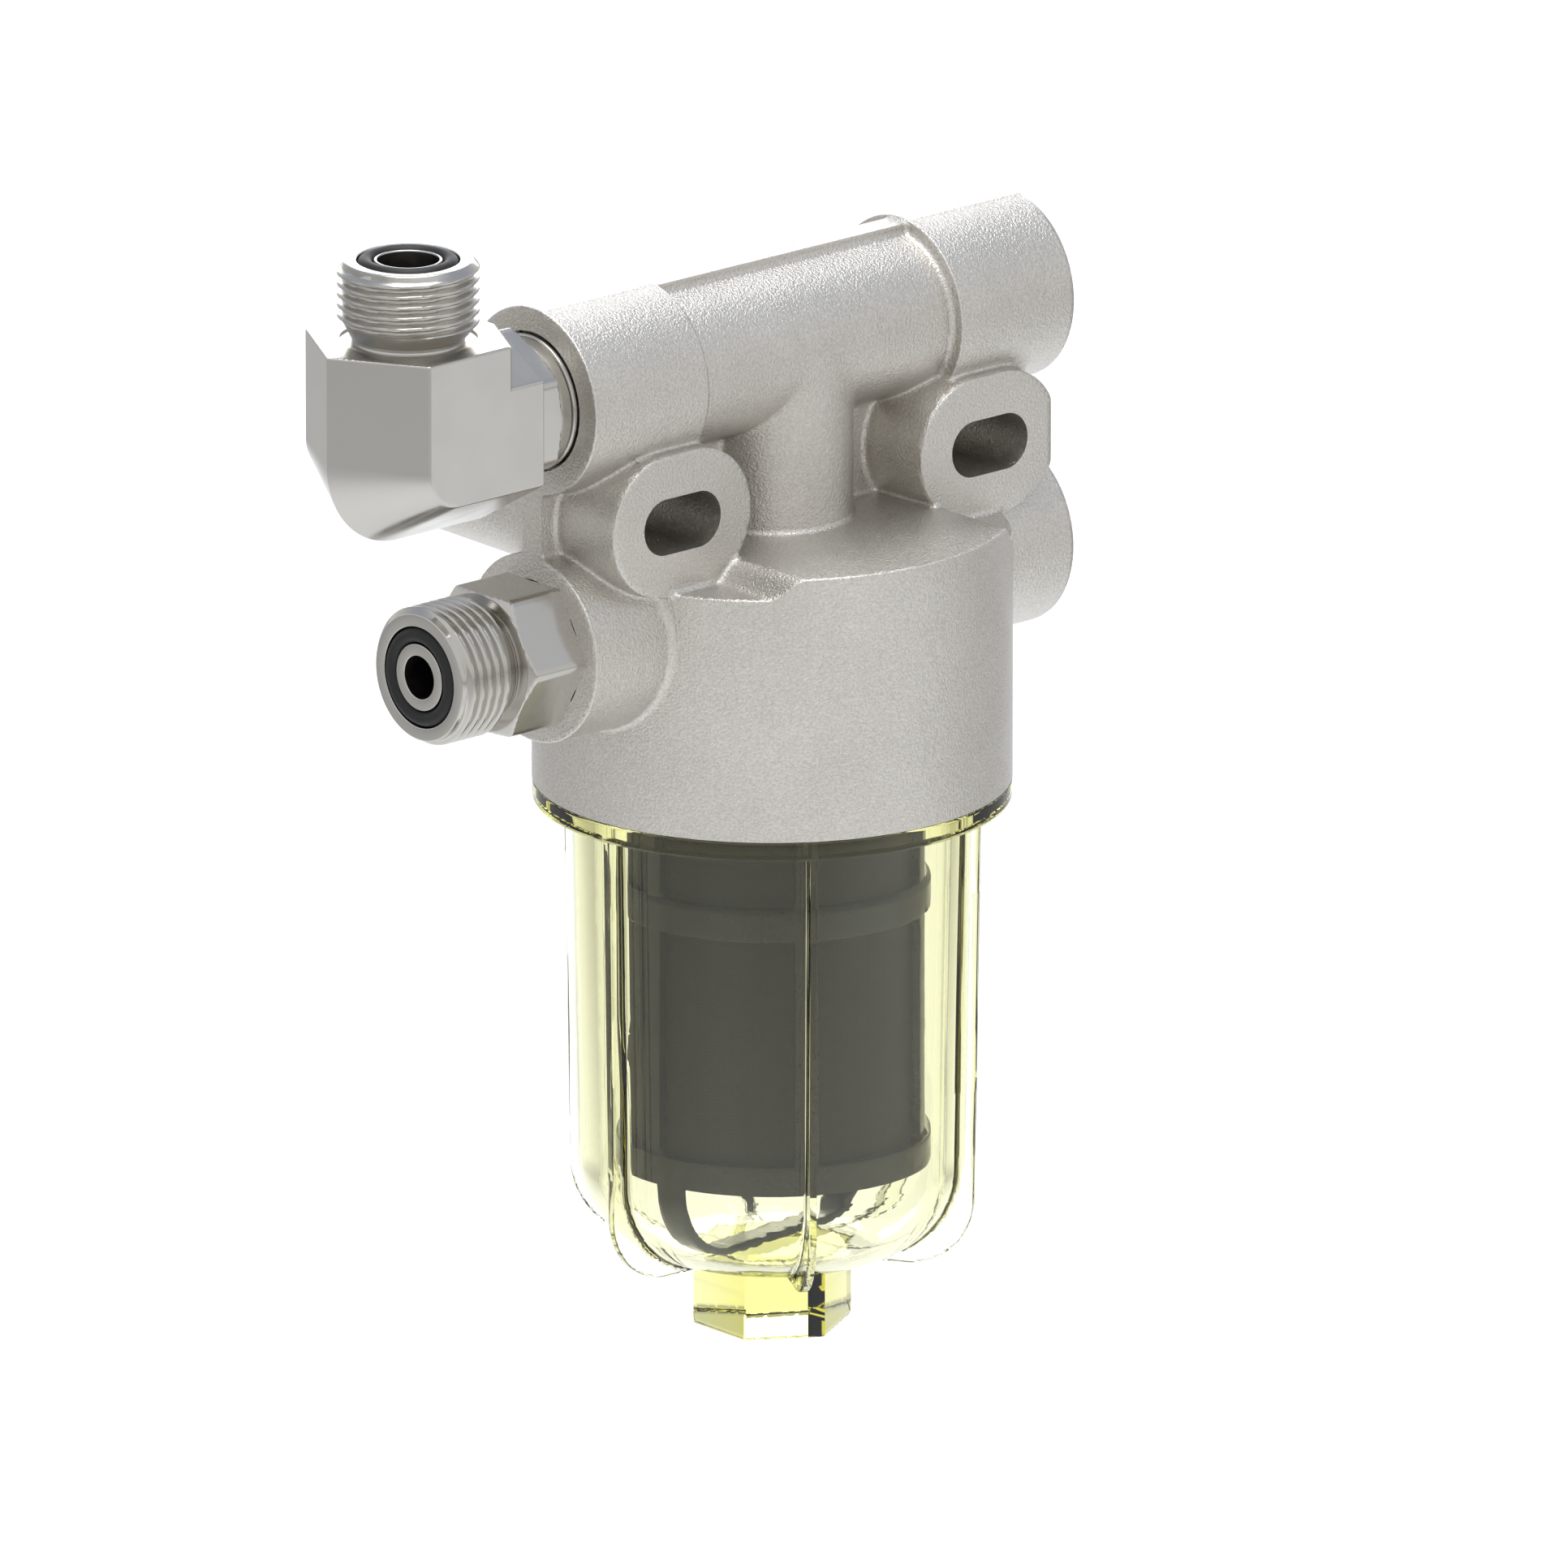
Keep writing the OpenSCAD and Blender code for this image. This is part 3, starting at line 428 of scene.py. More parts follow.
# The strainer element: a dark moulded cage with two rows of windows, a nylon mesh sleeve inside
# it and a disc pressed into its foot. The flat bow under the cage is moulded with it and stands
# on the bowl's floor.
CAGE_R, CAGE_WALL, BAND_H, BAR_HALF = 22.5, 1.2, 0.7, 1.4
CAGE_TOP_Z, PLATE_T, COLLAR_R, COLLAR_L, HOLE_R = -33.05, 2.0, 11.0, 8.0, 7.1
RING_GROOVE_R, RING_GROOVE_Z, RING_GROOVE_H = 9.45, -39.05, 2.5
UPPER_WINDOW_Z, MID_BAND_TOP_Z, MID_BAND_Z, FOOT_BAND_Z = -39.05, -60.6, -65.4, -99.6
ELEMENT_Z, BOW_STRAIGHT, BOW_CORNER, BOW_T, BOW_HALF = -104.0, 10.5, 12.5, 1.3, 2.1
BOW_MID_Z, BOW_ANGLE = -104.2, math.radians(9)
BAND_EDGE, WINDOW_EDGE, WINDOW_IN, BOW_EDGE = 0.2, 0.5, 1.0, 0.25
CAGE_LOW, CAGE_HIGH, CAGE_STEP = (-24.3, -24.3, -118), (24.3, 24.3, -32), 0.7


def cage_distance(x, y, z):
    """Wall, bands, top plate and collar, less the windows, with the bow below.

    The round parts are cylinders between two levels. The windows are two layers less the bars,
    which are planes through the axis made thick. The bow is a thin layer inside a rounded U: the
    length of how far out past the straight floor and how far down a point is, less the radius.
    """
    rho = np.hypot(x, y)
    bands = np.minimum(np.maximum(slab(z, MID_BAND_Z, MID_BAND_TOP_Z),
                                  rho + z - CAGE_R - MID_BAND_TOP_Z),
                       slab(z, ELEMENT_Z, FOOT_BAND_Z))
    wall = np.maximum(rho - CAGE_R, slab(z, ELEMENT_Z, CAGE_TOP_Z))
    wall = np.minimum(wall, round_meet(rho - CAGE_R - BAND_H, bands, BAND_EDGE))
    room = np.maximum(rho - CAGE_R + CAGE_WALL, z - CAGE_TOP_Z + PLATE_T)
    collar = np.maximum(rho - COLLAR_R, slab(z, CAGE_TOP_Z - COLLAR_L, CAGE_TOP_Z))
    holes = np.minimum(rho - HOLE_R, np.maximum(rho - RING_GROOVE_R, slab(
        z, RING_GROOVE_Z, RING_GROOVE_Z + RING_GROOVE_H)))
    shell = np.maximum(np.minimum(np.maximum(wall, -room), collar), -holes)
    rows = np.minimum(slab(z, FOOT_BAND_Z, MID_BAND_Z), slab(z, MID_BAND_TOP_Z, UPPER_WINDOW_Z))
    bars = np.minimum.reduce([np.abs(y * math.cos(k * np.pi / 3) - x * math.sin(k * np.pi / 3))
                              for k in range(3)]) - BAR_HALF
    windows = np.maximum(round_meet(rows, -bars, WINDOW_EDGE),
                         CAGE_R - CAGE_WALL - WINDOW_IN - rho)
    out = np.abs(x * math.cos(BOW_ANGLE) + y * math.sin(BOW_ANGLE))
    off = np.abs(y * math.cos(BOW_ANGLE) - x * math.sin(BOW_ANGLE)) - BOW_HALF
    depth = np.hypot(np.maximum(out - BOW_STRAIGHT, 0), np.maximum(BOW_MID_Z - z, 0)) - BOW_CORNER
    bow = round_meet(np.maximum(slab(depth, -BOW_T, 0), z - ELEMENT_Z - BOW_T), off, BOW_EDGE)
    return np.minimum(np.maximum(shell, -windows), bow)


cage_mesh = solid_mesh("element_cage_moulding", cage_distance, CAGE_LOW, CAGE_HIGH, CAGE_STEP)
cage = show("element_cage_moulding", cage_mesh, "head", ["element_cage"])

CAP_R, CAP_T, CAP_RIM, CAP_DISH, CAP_BEVEL, CAP_MIDDLE = 21.25, 3.0, 2.0, 1.0, 0.4, 0.8
cap_outline = soften([(CAP_MIDDLE, CAP_DISH), (CAP_R - CAP_RIM - CAP_BEVEL, CAP_DISH),
                      (CAP_R - CAP_RIM, 0), (CAP_R, 0), (CAP_R, CAP_T), (CAP_MIDDLE, CAP_T)],
                     TURNED_EDGE)
cap = show("element_end_disc", turned_mesh("element_end_disc", cap_outline,
                                           place=(0, 0, ELEMENT_Z), closed=False),
           "head", ["element_end_cap"])
even_shading(cap)

SLEEVE_R, SLEEVE_T, SLEEVE_LOW_Z, SLEEVE_TOP_Z = 21.25, 0.8, -100.95, -35.1
sleeve_outline = [(SLEEVE_R - SLEEVE_T, SLEEVE_LOW_Z), (SLEEVE_R, SLEEVE_LOW_Z),
                  (SLEEVE_R, SLEEVE_TOP_Z), (SLEEVE_R - SLEEVE_T, SLEEVE_TOP_Z)]
sleeve = show("mesh_sleeve", turned_mesh("mesh_sleeve", sleeve_outline, columns=144),
              "head", ["element_mesh"])

# Glass-filled nylon, moulded dark: a satin surface with a fine speckle from the glass, about
# 0.2 mm long, drawn at 0.6 mm so that it shows.
moulded, tree, shader, place = finish("dark_moulded_nylon", Roughness=0.17, IOR=1.4)
SPECKLE = 0.6
grain = add(tree, "ShaderNodeTexNoise", {"Vector": place, "Scale": 1 / (SPECKLE * MM),
                                         "Detail": 3.0})
speckle = add(tree, "ShaderNodeMapRange", {"Value": grain.outputs["Fac"], "From Min": 0.3,
                                           "From Max": 0.7, "To Min": 0.82, "To Max": 1.12})
shade = add(tree, "ShaderNodeMix", {"Factor": 1.0, "A": linear_colour("#1c1813"),
                                    "B": speckle.outputs["Result"]},
            data_type="RGBA", blend_type="MULTIPLY")
bump = add(tree, "ShaderNodeBump", {"Height": grain.outputs["Fac"], "Strength": 0.4,
                                    "Distance": 0.04 * MM})
tree.links.new(shade.outputs["Result"], shader.inputs["Base Color"])
tree.links.new(bump.outputs["Normal"], shader.inputs["Normal"])
cage.data.materials.append(moulded)
cap.data.materials.append(moulded)

# Woven nylon: threads 0.1 mm apart in the real one, drawn 0.55 mm apart so that the weave shows.
# Object coordinates give the angle round the sleeve and the height; two sine waves make threads.
woven, tree, shader, place = finish("woven_nylon_mesh", Roughness=0.6, IOR=1.35)
WEAVE = 0.55
split = add(tree, "ShaderNodeSeparateXYZ", {"Vector": place})
turn = add(tree, "ShaderNodeMath", {0: split.outputs["Y"], 1: split.outputs["X"]},
           operation="ARCTAN2")
threads = round(2 * math.pi * SLEEVE_R / WEAVE)
warp = add(tree, "ShaderNodeMath", {0: turn.outputs["Value"], 1: float(threads)},
           operation="MULTIPLY")
weft = add(tree, "ShaderNodeMath", {0: split.outputs["Z"], 1: 2 * math.pi / (WEAVE * MM)},
           operation="MULTIPLY")
warp = add(tree, "ShaderNodeMath", {0: warp.outputs["Value"]}, operation="SINE")
weft = add(tree, "ShaderNodeMath", {0: weft.outputs["Value"]}, operation="SINE")
weave = add(tree, "ShaderNodeMath", {0: warp.outputs["Value"], 1: weft.outputs["Value"]},
            operation="MAXIMUM")
bump = add(tree, "ShaderNodeBump", {"Height": weave.outputs["Value"], "Strength": 0.2,
                                    "Distance": 0.04 * MM})
tone = add(tree, "ShaderNodeMapRange", {"Value": weave.outputs["Value"], "From Min": -1.0,
                                        "To Min": 0.9, "To Max": 1.05})
shade = add(tree, "ShaderNodeMix", {"Factor": 1.0, "A": linear_colour("#1d1914"),
                                    "B": tone.outputs["Result"]},
            data_type="RGBA", blend_type="MULTIPLY")
tree.links.new(shade.outputs["Result"], shader.inputs["Base Color"])
tree.links.new(bump.outputs["Normal"], shader.inputs["Normal"])
sleeve.data.materials.append(woven)

# The seals: black nitrile O-rings, moulded, in the ports, in the faces of the hose ends, in the
# element's collar and round the bowl's neck. Nitrile is dull, with a thin bloom that clouds its
# gloss in patches about 1.5 mm wide.
rubber, tree, shader, place = finish("nitrile_rubber", Roughness=0.5, IOR=1.5,
                                     Base_Color=linear_colour("#0f0f0f"))
BLOOM = 1.5
bloom = add(tree, "ShaderNodeTexNoise", {"Vector": place, "Scale": 1 / (BLOOM * MM),
                                         "Detail": 3.0})
haze = add(tree, "ShaderNodeMapRange", {"Value": bloom.outputs["Fac"], "To Min": 0.44,
                                        "To Max": 0.6})
tree.links.new(haze.outputs["Result"], shader.inputs["Roughness"])
ELBOW_X, ELBOW_END_Z, ADAPTER_END_X = -70.4, 44.55, -68.6
SEAL_X, PORT_SEAL_R, PORT_WIRE = 44.4, 8.4, 2.05
FACE_SEAL_R, FACE_WIRE, FACE_SINK, WIRE_SIDES = 6.2375, 2.425, 0.8375, 16
# Each row: the node, its body, the ring's middle radius, the wire's thickness, centre and axis.
SEALS = (("element_seal", "head", 8.225, 2.35, (0, 0, -37.8), "z"),
         ("bowl_seal", "bowl_ring", 28.45, 2.0, (0, 0, -33.9), "z"),
         ("elbow_port_seal", "elbow_fitting", PORT_SEAL_R, PORT_WIRE, (-SEAL_X, 0, UPPER_Z), "x"),
         ("elbow_face_seal", "elbow_fitting", FACE_SEAL_R, FACE_WIRE,
          (ELBOW_X, 0, ELBOW_END_Z - FACE_SINK), "z"),
         ("adapter_port_seal", "head", PORT_SEAL_R, PORT_WIRE, (-SEAL_X, 0, LOWER_Z), "x"),
         ("adapter_face_seal", "head", FACE_SEAL_R, FACE_WIRE,
          (ADAPTER_END_X + FACE_SINK, 0, LOWER_Z), "x"),
         ("upper_plug_seal", "head", PORT_SEAL_R, PORT_WIRE, (SEAL_X, 0, UPPER_Z), "x"),
         ("lower_plug_seal", "head", PORT_SEAL_R, PORT_WIRE, (SEAL_X, 0, LOWER_Z), "x"))
round_wire = np.arange(WIRE_SIDES) * 2 * np.pi / WIRE_SIDES
for node, body, ring_r, wire, centre, axis in SEALS:
    section = np.stack([ring_r + wire / 2 * np.cos(round_wire),
                        wire / 2 * np.sin(round_wire)], axis=1)
    ring = show(node + "_ring", turned_mesh(node + "_ring", section, place=centre, axis=axis),
                body, [node])
    ring.data.materials.append(rubber)

# The bowl is one moulding in clear yellow plastic. Its neck screws up into the skirt, a flange
# meets the skirt's rim, six fins stiffen the side, and a wrench takes the solid hexagon.
FLANGE_Z, BOWL_Z, FLOOR_Z, LUG_Z = -49.9, -119.0, -117.0, -130.2
BOWL_R, BOWL_WALL, BOWL_TAPER, BOWL_CORNER = 29.3, 3.2, 0.016, 15.0
NECK_THREAD_R, THREAD_PITCH, THREAD_CUT, THREAD_FLANK, THREAD_CREST = 31.2, 3.0, 1.6, 1.5, 0.25
PILOT_R, PILOT_TOP_Z, GROOVE_Z, GROOVE_R, GROOVE_HALF = 29.4, -30.9, -33.9, 27.4, 1.05
FIN_H, FIN_HALF, FIN_CORNER, FIN_DROP = 2.75, 0.6, 10.5, 0.3
LUG_HALF, BOWL_TURN = 10.15, math.radians(-1)
PILOT_EDGE, FLANGE_EDGE, FIN_EDGE, LUG_EDGE, LAP = 0.4, 0.35, 0.25, 0.4, 1.0
FIN_FILLET, LUG_FILLET, FLANGE_FILLET = 0.4, 0.6, 0.5
BOWL_LOW, BOWL_HIGH, BOWL_STEP = (-36, -36, -131.2), (36, 36, -29.9), 0.8


def hexagon(u, v, half):
    """Distance to a hexagon with corners on the v axis: the farthest of three pairs of sides."""
    a, b = np.abs(u), np.abs(v)
    return np.maximum(a, a * 0.5 + b * math.sqrt(0.75)) - half


def bowl_distance(x, y, z):
    """Body, flange, threaded neck, fins and wrench hexagon, less the room inside.

    The body is a cylinder that narrows downwards, with a rounded foot. The thread's radius is a
    clipped triangle wave of the height in pitches less the turns. A fin is a slab through the
    axis, cut to an outline that stands a little off the body's.
    """
    u = x * math.cos(BOWL_TURN) + y * math.sin(BOWL_TURN)
    v = y * math.cos(BOWL_TURN) - x * math.sin(BOWL_TURN)
    rho = np.hypot(u, v)
    side = BOWL_R - BOWL_TAPER * (FLANGE_Z - z)
    body = np.maximum(round_meet(rho - side, BOWL_Z - z, BOWL_CORNER), z - RIM_Z)
    turns = z / THREAD_PITCH - np.arctan2(v, u) / (2 * np.pi)
    wave = np.abs(2 * (turns - np.floor(turns)) - 1)
    thread = NECK_THREAD_R - THREAD_CUT * np.clip(THREAD_FLANK * wave - THREAD_CREST, 0, 1)
    neck = np.maximum(rho - thread, slab(z, RIM_Z - LAP, THREAD_TOP_Z))
    pilot = round_meet(rho - PILOT_R, slab(z, RIM_Z - LAP, PILOT_TOP_Z), PILOT_EDGE)
    pilot = np.maximum(pilot, -np.maximum(GROOVE_R - rho, np.abs(z - GROOVE_Z) - GROOVE_HALF))
    flange = round_meet(rho - SKIRT_R, slab(z, FLANGE_Z, RIM_Z), FLANGE_EDGE)
    fins = None
    for k in range(3):
        c, s = math.cos(k * np.pi / 3), math.sin(k * np.pi / 3)
        out, off = np.abs(u * c + v * s), np.abs(v * c - u * s)
        edge = round_meet(out - side - FIN_H, BOWL_Z - FIN_DROP - z, FIN_CORNER)
        fin = round_meet(np.maximum(edge, z - RIM_Z + LAP), off - FIN_HALF, FIN_EDGE)
        fins = fin if fins is None else np.minimum(fins, fin)
    lug = round_meet(hexagon(u, v, LUG_HALF), slab(z, LUG_Z, BOWL_Z + LAP), LUG_EDGE)
    outside = fillet_join(fillet_join(body, fins, FIN_FILLET), lug, LUG_FILLET)
    outside = np.minimum(fillet_join(outside, flange, FLANGE_FILLET), np.minimum(neck, pilot))
    inside = round_meet(rho - side + BOWL_WALL, FLOOR_Z - z, BOWL_CORNER - BOWL_WALL)
    return np.maximum(outside, -inside)


bowl_mesh = solid_mesh("clear_bowl", bowl_distance, BOWL_LOW, BOWL_HIGH, BOWL_STEP)
bowl = show("clear_bowl", bowl_mesh, "bowl_cup", ["bowl"])
# Clear polyamide, yellow in the mass: the colour comes from the depth of plastic that light
# crosses, so walls look nearly clear, the solid hexagon yellow and the edges gold.
clear, tree, shader, place = finish("clear_yellow_polyamide", Roughness=0.02, IOR=1.51,
                                    Transmission_Weight=1.0, Base_Color=linear_colour("#fffffa"))
output = tree.nodes["Material Output"]
depth = add(tree, "ShaderNodeVolumeAbsorption", {"Color": linear_colour("#fcfab8"),
                                                 "Density": 100.0})
tree.links.new(depth.outputs["Volume"], output.inputs["Volume"])
bowl.data.materials.append(clear)

# The two hose ends are alike: a 13/16-16 thread, a polished chamfer, a groove for the face seal
# and the bore, turned on the end of each fitting.
HOSE_R, HOSE_L, HOSE_PITCH, HOSE_CUT, HOSE_CHAMFER = 10.32, 9.4, 1.5875, 0.85, 1.0
HOSE_NECK_R, HOSE_NECK_L, HOSE_FLANK, HOSE_CREST = 8.3, 2.4, 1.35, 0.15
GROOVE_OUT_R, GROOVE_IN_R, GROOVE_DEPTH = 7.5, 4.975, 2.1
FOOT_EDGE, FACE_EDGE, ROWS_A_TURN, RUN_IN, RUN_OUT, LAND = 0.25, 0.18, 14, 0.3, 0.25, 0.5
HOSE_END_L = HOSE_L + HOSE_NECK_L


def hose_outline(bore):
    """(r, z) from the foot of the neck up the thread and in to the bore; the end face is z = 0.

    The corners that only close each softened part are left out.
    """
    runout = HOSE_R - HOSE_NECK_R
    low = -HOSE_L - runout
    foot = soften([(bore, -HOSE_END_L), (HOSE_NECK_R, -HOSE_END_L), (HOSE_NECK_R, low),
                   (HOSE_R, -HOSE_L), (bore, -HOSE_L)], FOOT_EDGE)[PER_CORNER:3 * PER_CORNER]
    rows = np.arange(-HOSE_L + RUN_IN, -HOSE_CHAMFER - RUN_OUT, HOSE_PITCH / ROWS_A_TURN)
    thread = np.stack([np.full(len(rows), HOSE_R), rows], axis=1)
    face = soften([(bore, -HOSE_CHAMFER - LAND), (HOSE_R, -HOSE_CHAMFER - LAND),
                   (HOSE_R, -HOSE_CHAMFER), (HOSE_R - HOSE_CHAMFER, 0), (GROOVE_OUT_R, 0),
                   (GROOVE_OUT_R, -GROOVE_DEPTH), (GROOVE_IN_R, -GROOVE_DEPTH),
                   (GROOVE_IN_R, 0), (bore, 0)], FACE_EDGE)[2 * PER_CORNER:]
    return np.concatenate([foot, thread, face])


def screw_thread(r, along, angle, low, high, crest, pitch, cut):
    """Radius cut back to a right-hand thread.

    The wave is a triangle of the length in pitches less the turns, clipped to leave flat crests
    and roots, and a cosine rounds its flanks.
    """
    turns = along / pitch - angle / (2 * np.pi)
    wave = np.abs(2 * (turns - np.floor(turns)) - 1)
    wave = np.clip(HOSE_FLANK * wave - HOSE_CREST, 0, 1)
    flanks = crest - cut * (0.5 - 0.5 * np.cos(np.pi * wave))
    return np.where((along > low) & (along < high), np.minimum(r, flanks), r)


def hexagon_radius(angle, half, flat_at, corner=0.2):
    """Radius of a hexagon at each angle, with its corners broken by a little.

    It is half the width over the cosine of the angle from the middle of the nearest flat.
    """
    away = np.mod(angle - flat_at + np.pi / 6, np.pi / 3) - np.pi / 6
    return np.minimum(half / np.cos(away), half / math.cos(np.pi / 6) - corner)


# The elbow is an adjustable stud elbow, machined from a bent hexagonal steel bar: the hose end
# points up and the stud runs into the upper left port. Its edges are lightly broken.
BAR_FLAT, ELBOW_FLAT, ELBOW_TURN, BAR_EDGE = 13.6, 14.1, 2.2, 0.25
ELBOW_SPOT_R, ELBOW_SPOT_DEPTH, ELBOW_BORE, STUD_BORE = 10.1, 0.3, 4.5, 4.0
STUD_R, STUD_FROM_X, STUD_END_X, THREAD_IN = 7.9, -56.8, -34.7, 2.0
UNDERCUT_R, UNDERCUT_FROM_X, UNDERCUT_TO_X = 7.35, -47.55, -43.05
ELBOW_LOW, ELBOW_HIGH, ELBOW_STEP = (-87.5, -15, 1.5), (-54.9, 15, 34.1), 0.45


def elbow_distance(x, y, z):
    """Two arms of hexagonal bar and the turn between them, less the spotface and the bores.

    Each arm's slanted sides are planes, and its flat ones stand across Y. In the turn, the
    distance from the middle of the bend takes the place of the distance across the arm.
    """
    u, v, w = x - ELBOW_X, np.abs(y), z - UPPER_Z
    slope = math.sqrt(0.75)
    arms = []
    for across, along in ((u, w), (w, u)):
        side = slope * np.abs(across) + 0.5 * v - BAR_FLAT
        side = round_meet(side, across - ELBOW_FLAT, BAR_EDGE)
        arms.append(round_meet(side, slab(along, -ELBOW_TURN, ELBOW_FLAT), BAR_EDGE))
    turned = slope * (np.hypot(u + ELBOW_TURN, w + ELBOW_TURN) + ELBOW_TURN) + 0.5 * v - BAR_FLAT
    body = np.minimum(np.minimum(*arms), turned)
    body = round_meet(body, v - BAR_FLAT, BAR_EDGE)
    around = np.hypot(u, y)
    spot = np.maximum(around - ELBOW_SPOT_R, ELBOW_FLAT - ELBOW_SPOT_DEPTH - w)
    bores = np.minimum(np.maximum(around - ELBOW_BORE, -ELBOW_BORE - w),
                       np.maximum(np.hypot(y, w) - STUD_BORE, -u))
    return np.maximum(body, -np.minimum(spot, bores))


elbow_mesh = solid_mesh("elbow_block", elbow_distance, ELBOW_LOW, ELBOW_HIGH, ELBOW_STEP)
elbow = show("elbow_block", elbow_mesh, "elbow_fitting", ["elbow"])
elbow.data.materials.append(steel)
end_foot = -HOSE_END_L - LAND
end_outline = np.concatenate([[(ELBOW_BORE, end_foot), (HOSE_NECK_R, end_foot)],
                              hose_outline(ELBOW_BORE)])
end_mesh = turned_mesh(
    "elbow_hose_end", end_outline, columns=144, place=(ELBOW_X, 0, ELBOW_END_Z),
    across=lambda r, z, angle: screw_thread(r, z, angle, -HOSE_L - THREAD_IN, 0, HOSE_R,
                                            HOSE_PITCH, HOSE_CUT))
elbow_end = show("elbow_hose_end", end_mesh, "elbow_fitting", ["elbow"])
elbow_end.data.materials.append(steel)
stud_outline = soften([(STUD_BORE, STUD_FROM_X), (STUD_R, STUD_FROM_X),
                       (STUD_R, UNDERCUT_FROM_X), (UNDERCUT_R, UNDERCUT_FROM_X),
                       (UNDERCUT_R, UNDERCUT_TO_X), (STUD_R, UNDERCUT_TO_X),
                       (STUD_R, STUD_END_X), (STUD_BORE, STUD_END_X)], TURNED_EDGE)
stud = show("elbow_stud", turned_mesh("elbow_stud", stud_outline, place=(0, 0, UPPER_Z), axis="x"),
            "elbow_fitting", ["elbow"])
stud.data.materials.append(steel)

# The locknut and its washer hold the elbow at its angle: a chamfered steel hexagon with a round
# collar that presses the washer and the seal into the port.
NUT_HALF, NUT_FROM_X, NUT_HEX_L, NUT_BORE, NUT_FACE_R = 10.4, -56.25, 6.15, 8.0, 9.7
NUT_COLLAR_R, NUT_COLLAR_X, NUT_EDGE = 9.8, -47.55, 0.2
HEX_SLOPE, HEX_CUT, HEX_END, END_ROWS = math.tan(math.radians(25)), 0.15, 1.2, 9
HEX_MIDDLE, MIDDLE_ROWS = 1.8, 4
WASHER_R, WASHER_X, WASHER_T, WASHER_EDGE, TINY = 10.1, -47.5, 2.0, 0.35, 1e-6


def chamfered_hexagon(low, high, half, flat_at, front=True, rear=True):
    """A function for turned_mesh: a hexagon from low to high, its ends cut to a shallow cone.

    The cone's radius grows from just inside the flats with the length from that end.
    """
    def across(r, along, angle):
        flat = hexagon_radius(angle, half, flat_at)
        if front:
            flat = np.minimum(flat, half - HEX_CUT + (along - low) / HEX_SLOPE)
        if rear:
            flat = np.minimum(flat, half - HEX_CUT + (high - along) / HEX_SLOPE)
        inside = (along > low - TINY) & (along < high + TINY) & (r > half)
        return np.where(inside, flat, r)
    return across


def hexagon_rows(low, high, radius):
    """Outline rows of a hexagon, closer where its ends are chamfered."""
    ends = np.linspace(0, HEX_END, END_ROWS)
    middle = np.linspace(low + HEX_MIDDLE, high - HEX_MIDDLE, MIDDLE_ROWS)
    rows = np.concatenate([low + ends, middle, high - ends[::-1]])
    return np.stack([np.full(len(rows), radius), rows], axis=1)


nut_high = NUT_FROM_X + NUT_HEX_L
nut_outline = np.concatenate([
    [(NUT_BORE, NUT_FROM_X), (NUT_FACE_R, NUT_FROM_X)],
    hexagon_rows(NUT_FROM_X, nut_high, 2 * NUT_HALF),
    soften([(NUT_BORE, nut_high), (NUT_COLLAR_R, nut_high), (NUT_COLLAR_R, NUT_COLLAR_X),
            (NUT_BORE, NUT_COLLAR_X)], NUT_EDGE)[PER_CORNER:]])
nut = show("locknut", turned_mesh(
    "locknut", nut_outline, columns=144, place=(0, 0, UPPER_Z), axis="x",
    across=chamfered_hexagon(NUT_FROM_X, nut_high, NUT_HALF, 0.0)),
    "elbow_fitting", ["elbow_locknut"])
nut.data.materials.append(steel)
washer_to = WASHER_X + WASHER_T
washer_outline = soften([(NUT_BORE, WASHER_X), (WASHER_R, WASHER_X), (WASHER_R, washer_to),
                         (NUT_BORE, washer_to)], WASHER_EDGE)
washer = show("backing_washer", turned_mesh("backing_washer", washer_outline,
                                            place=(0, 0, UPPER_Z), axis="x"),
              "elbow_fitting", ["elbow_washer"])
even_shading(washer)
washer.data.materials.append(steel)

# The adapter is turned from hexagonal steel bar: hose end, chamfered hexagon, round collar in
# the spotface, undercut for the seal and the thread in the lower left port.
ADAPTER_HALF, HEX_FROM_X, HEX_TO_X, ADAPTER_BORE, COLLAR_OUT_R = 10.3, -56.8, -HEAD_HALF, 3.2, 10.2
ADAPTER_RIM_R, ADAPTER_EDGE = 10.14, 0.25
adapter_hose = hose_outline(ADAPTER_BORE)[::-1] * (1, -1) + (0, ADAPTER_END_X)
adapter_outline = np.concatenate([
    adapter_hose, [(ADAPTER_RIM_R, HEX_FROM_X)],
    hexagon_rows(HEX_FROM_X, HEX_TO_X, 2 * ADAPTER_HALF),
    soften([(ADAPTER_BORE, HEX_TO_X), (COLLAR_OUT_R, HEX_TO_X), (COLLAR_OUT_R, -SPOT_X),
            (UNDERCUT_R, -SPOT_X), (UNDERCUT_R, UNDERCUT_TO_X), (STUD_R, UNDERCUT_TO_X),
            (STUD_R, STUD_END_X), (ADAPTER_BORE, STUD_END_X)], ADAPTER_EDGE)[PER_CORNER:]])
adapter_hexagon = chamfered_hexagon(HEX_FROM_X, HEX_TO_X, ADAPTER_HALF, math.pi / 2, rear=False)


def adapter_across(r, along, angle):
    """The hose thread, right-handed towards -X, and then the hexagon."""
    cut = screw_thread(r, ADAPTER_END_X - along, -angle, -HOSE_L - THREAD_IN, 0, HOSE_R,
                       HOSE_PITCH, HOSE_CUT)
    return adapter_hexagon(cut, along, angle)


adapter = show("adapter_fitting", turned_mesh(
    "adapter_fitting", adapter_outline, columns=144, place=(0, 0, LOWER_Z), axis="x",
    across=adapter_across), "head", ["adapter"])
adapter.data.materials.append(steel)

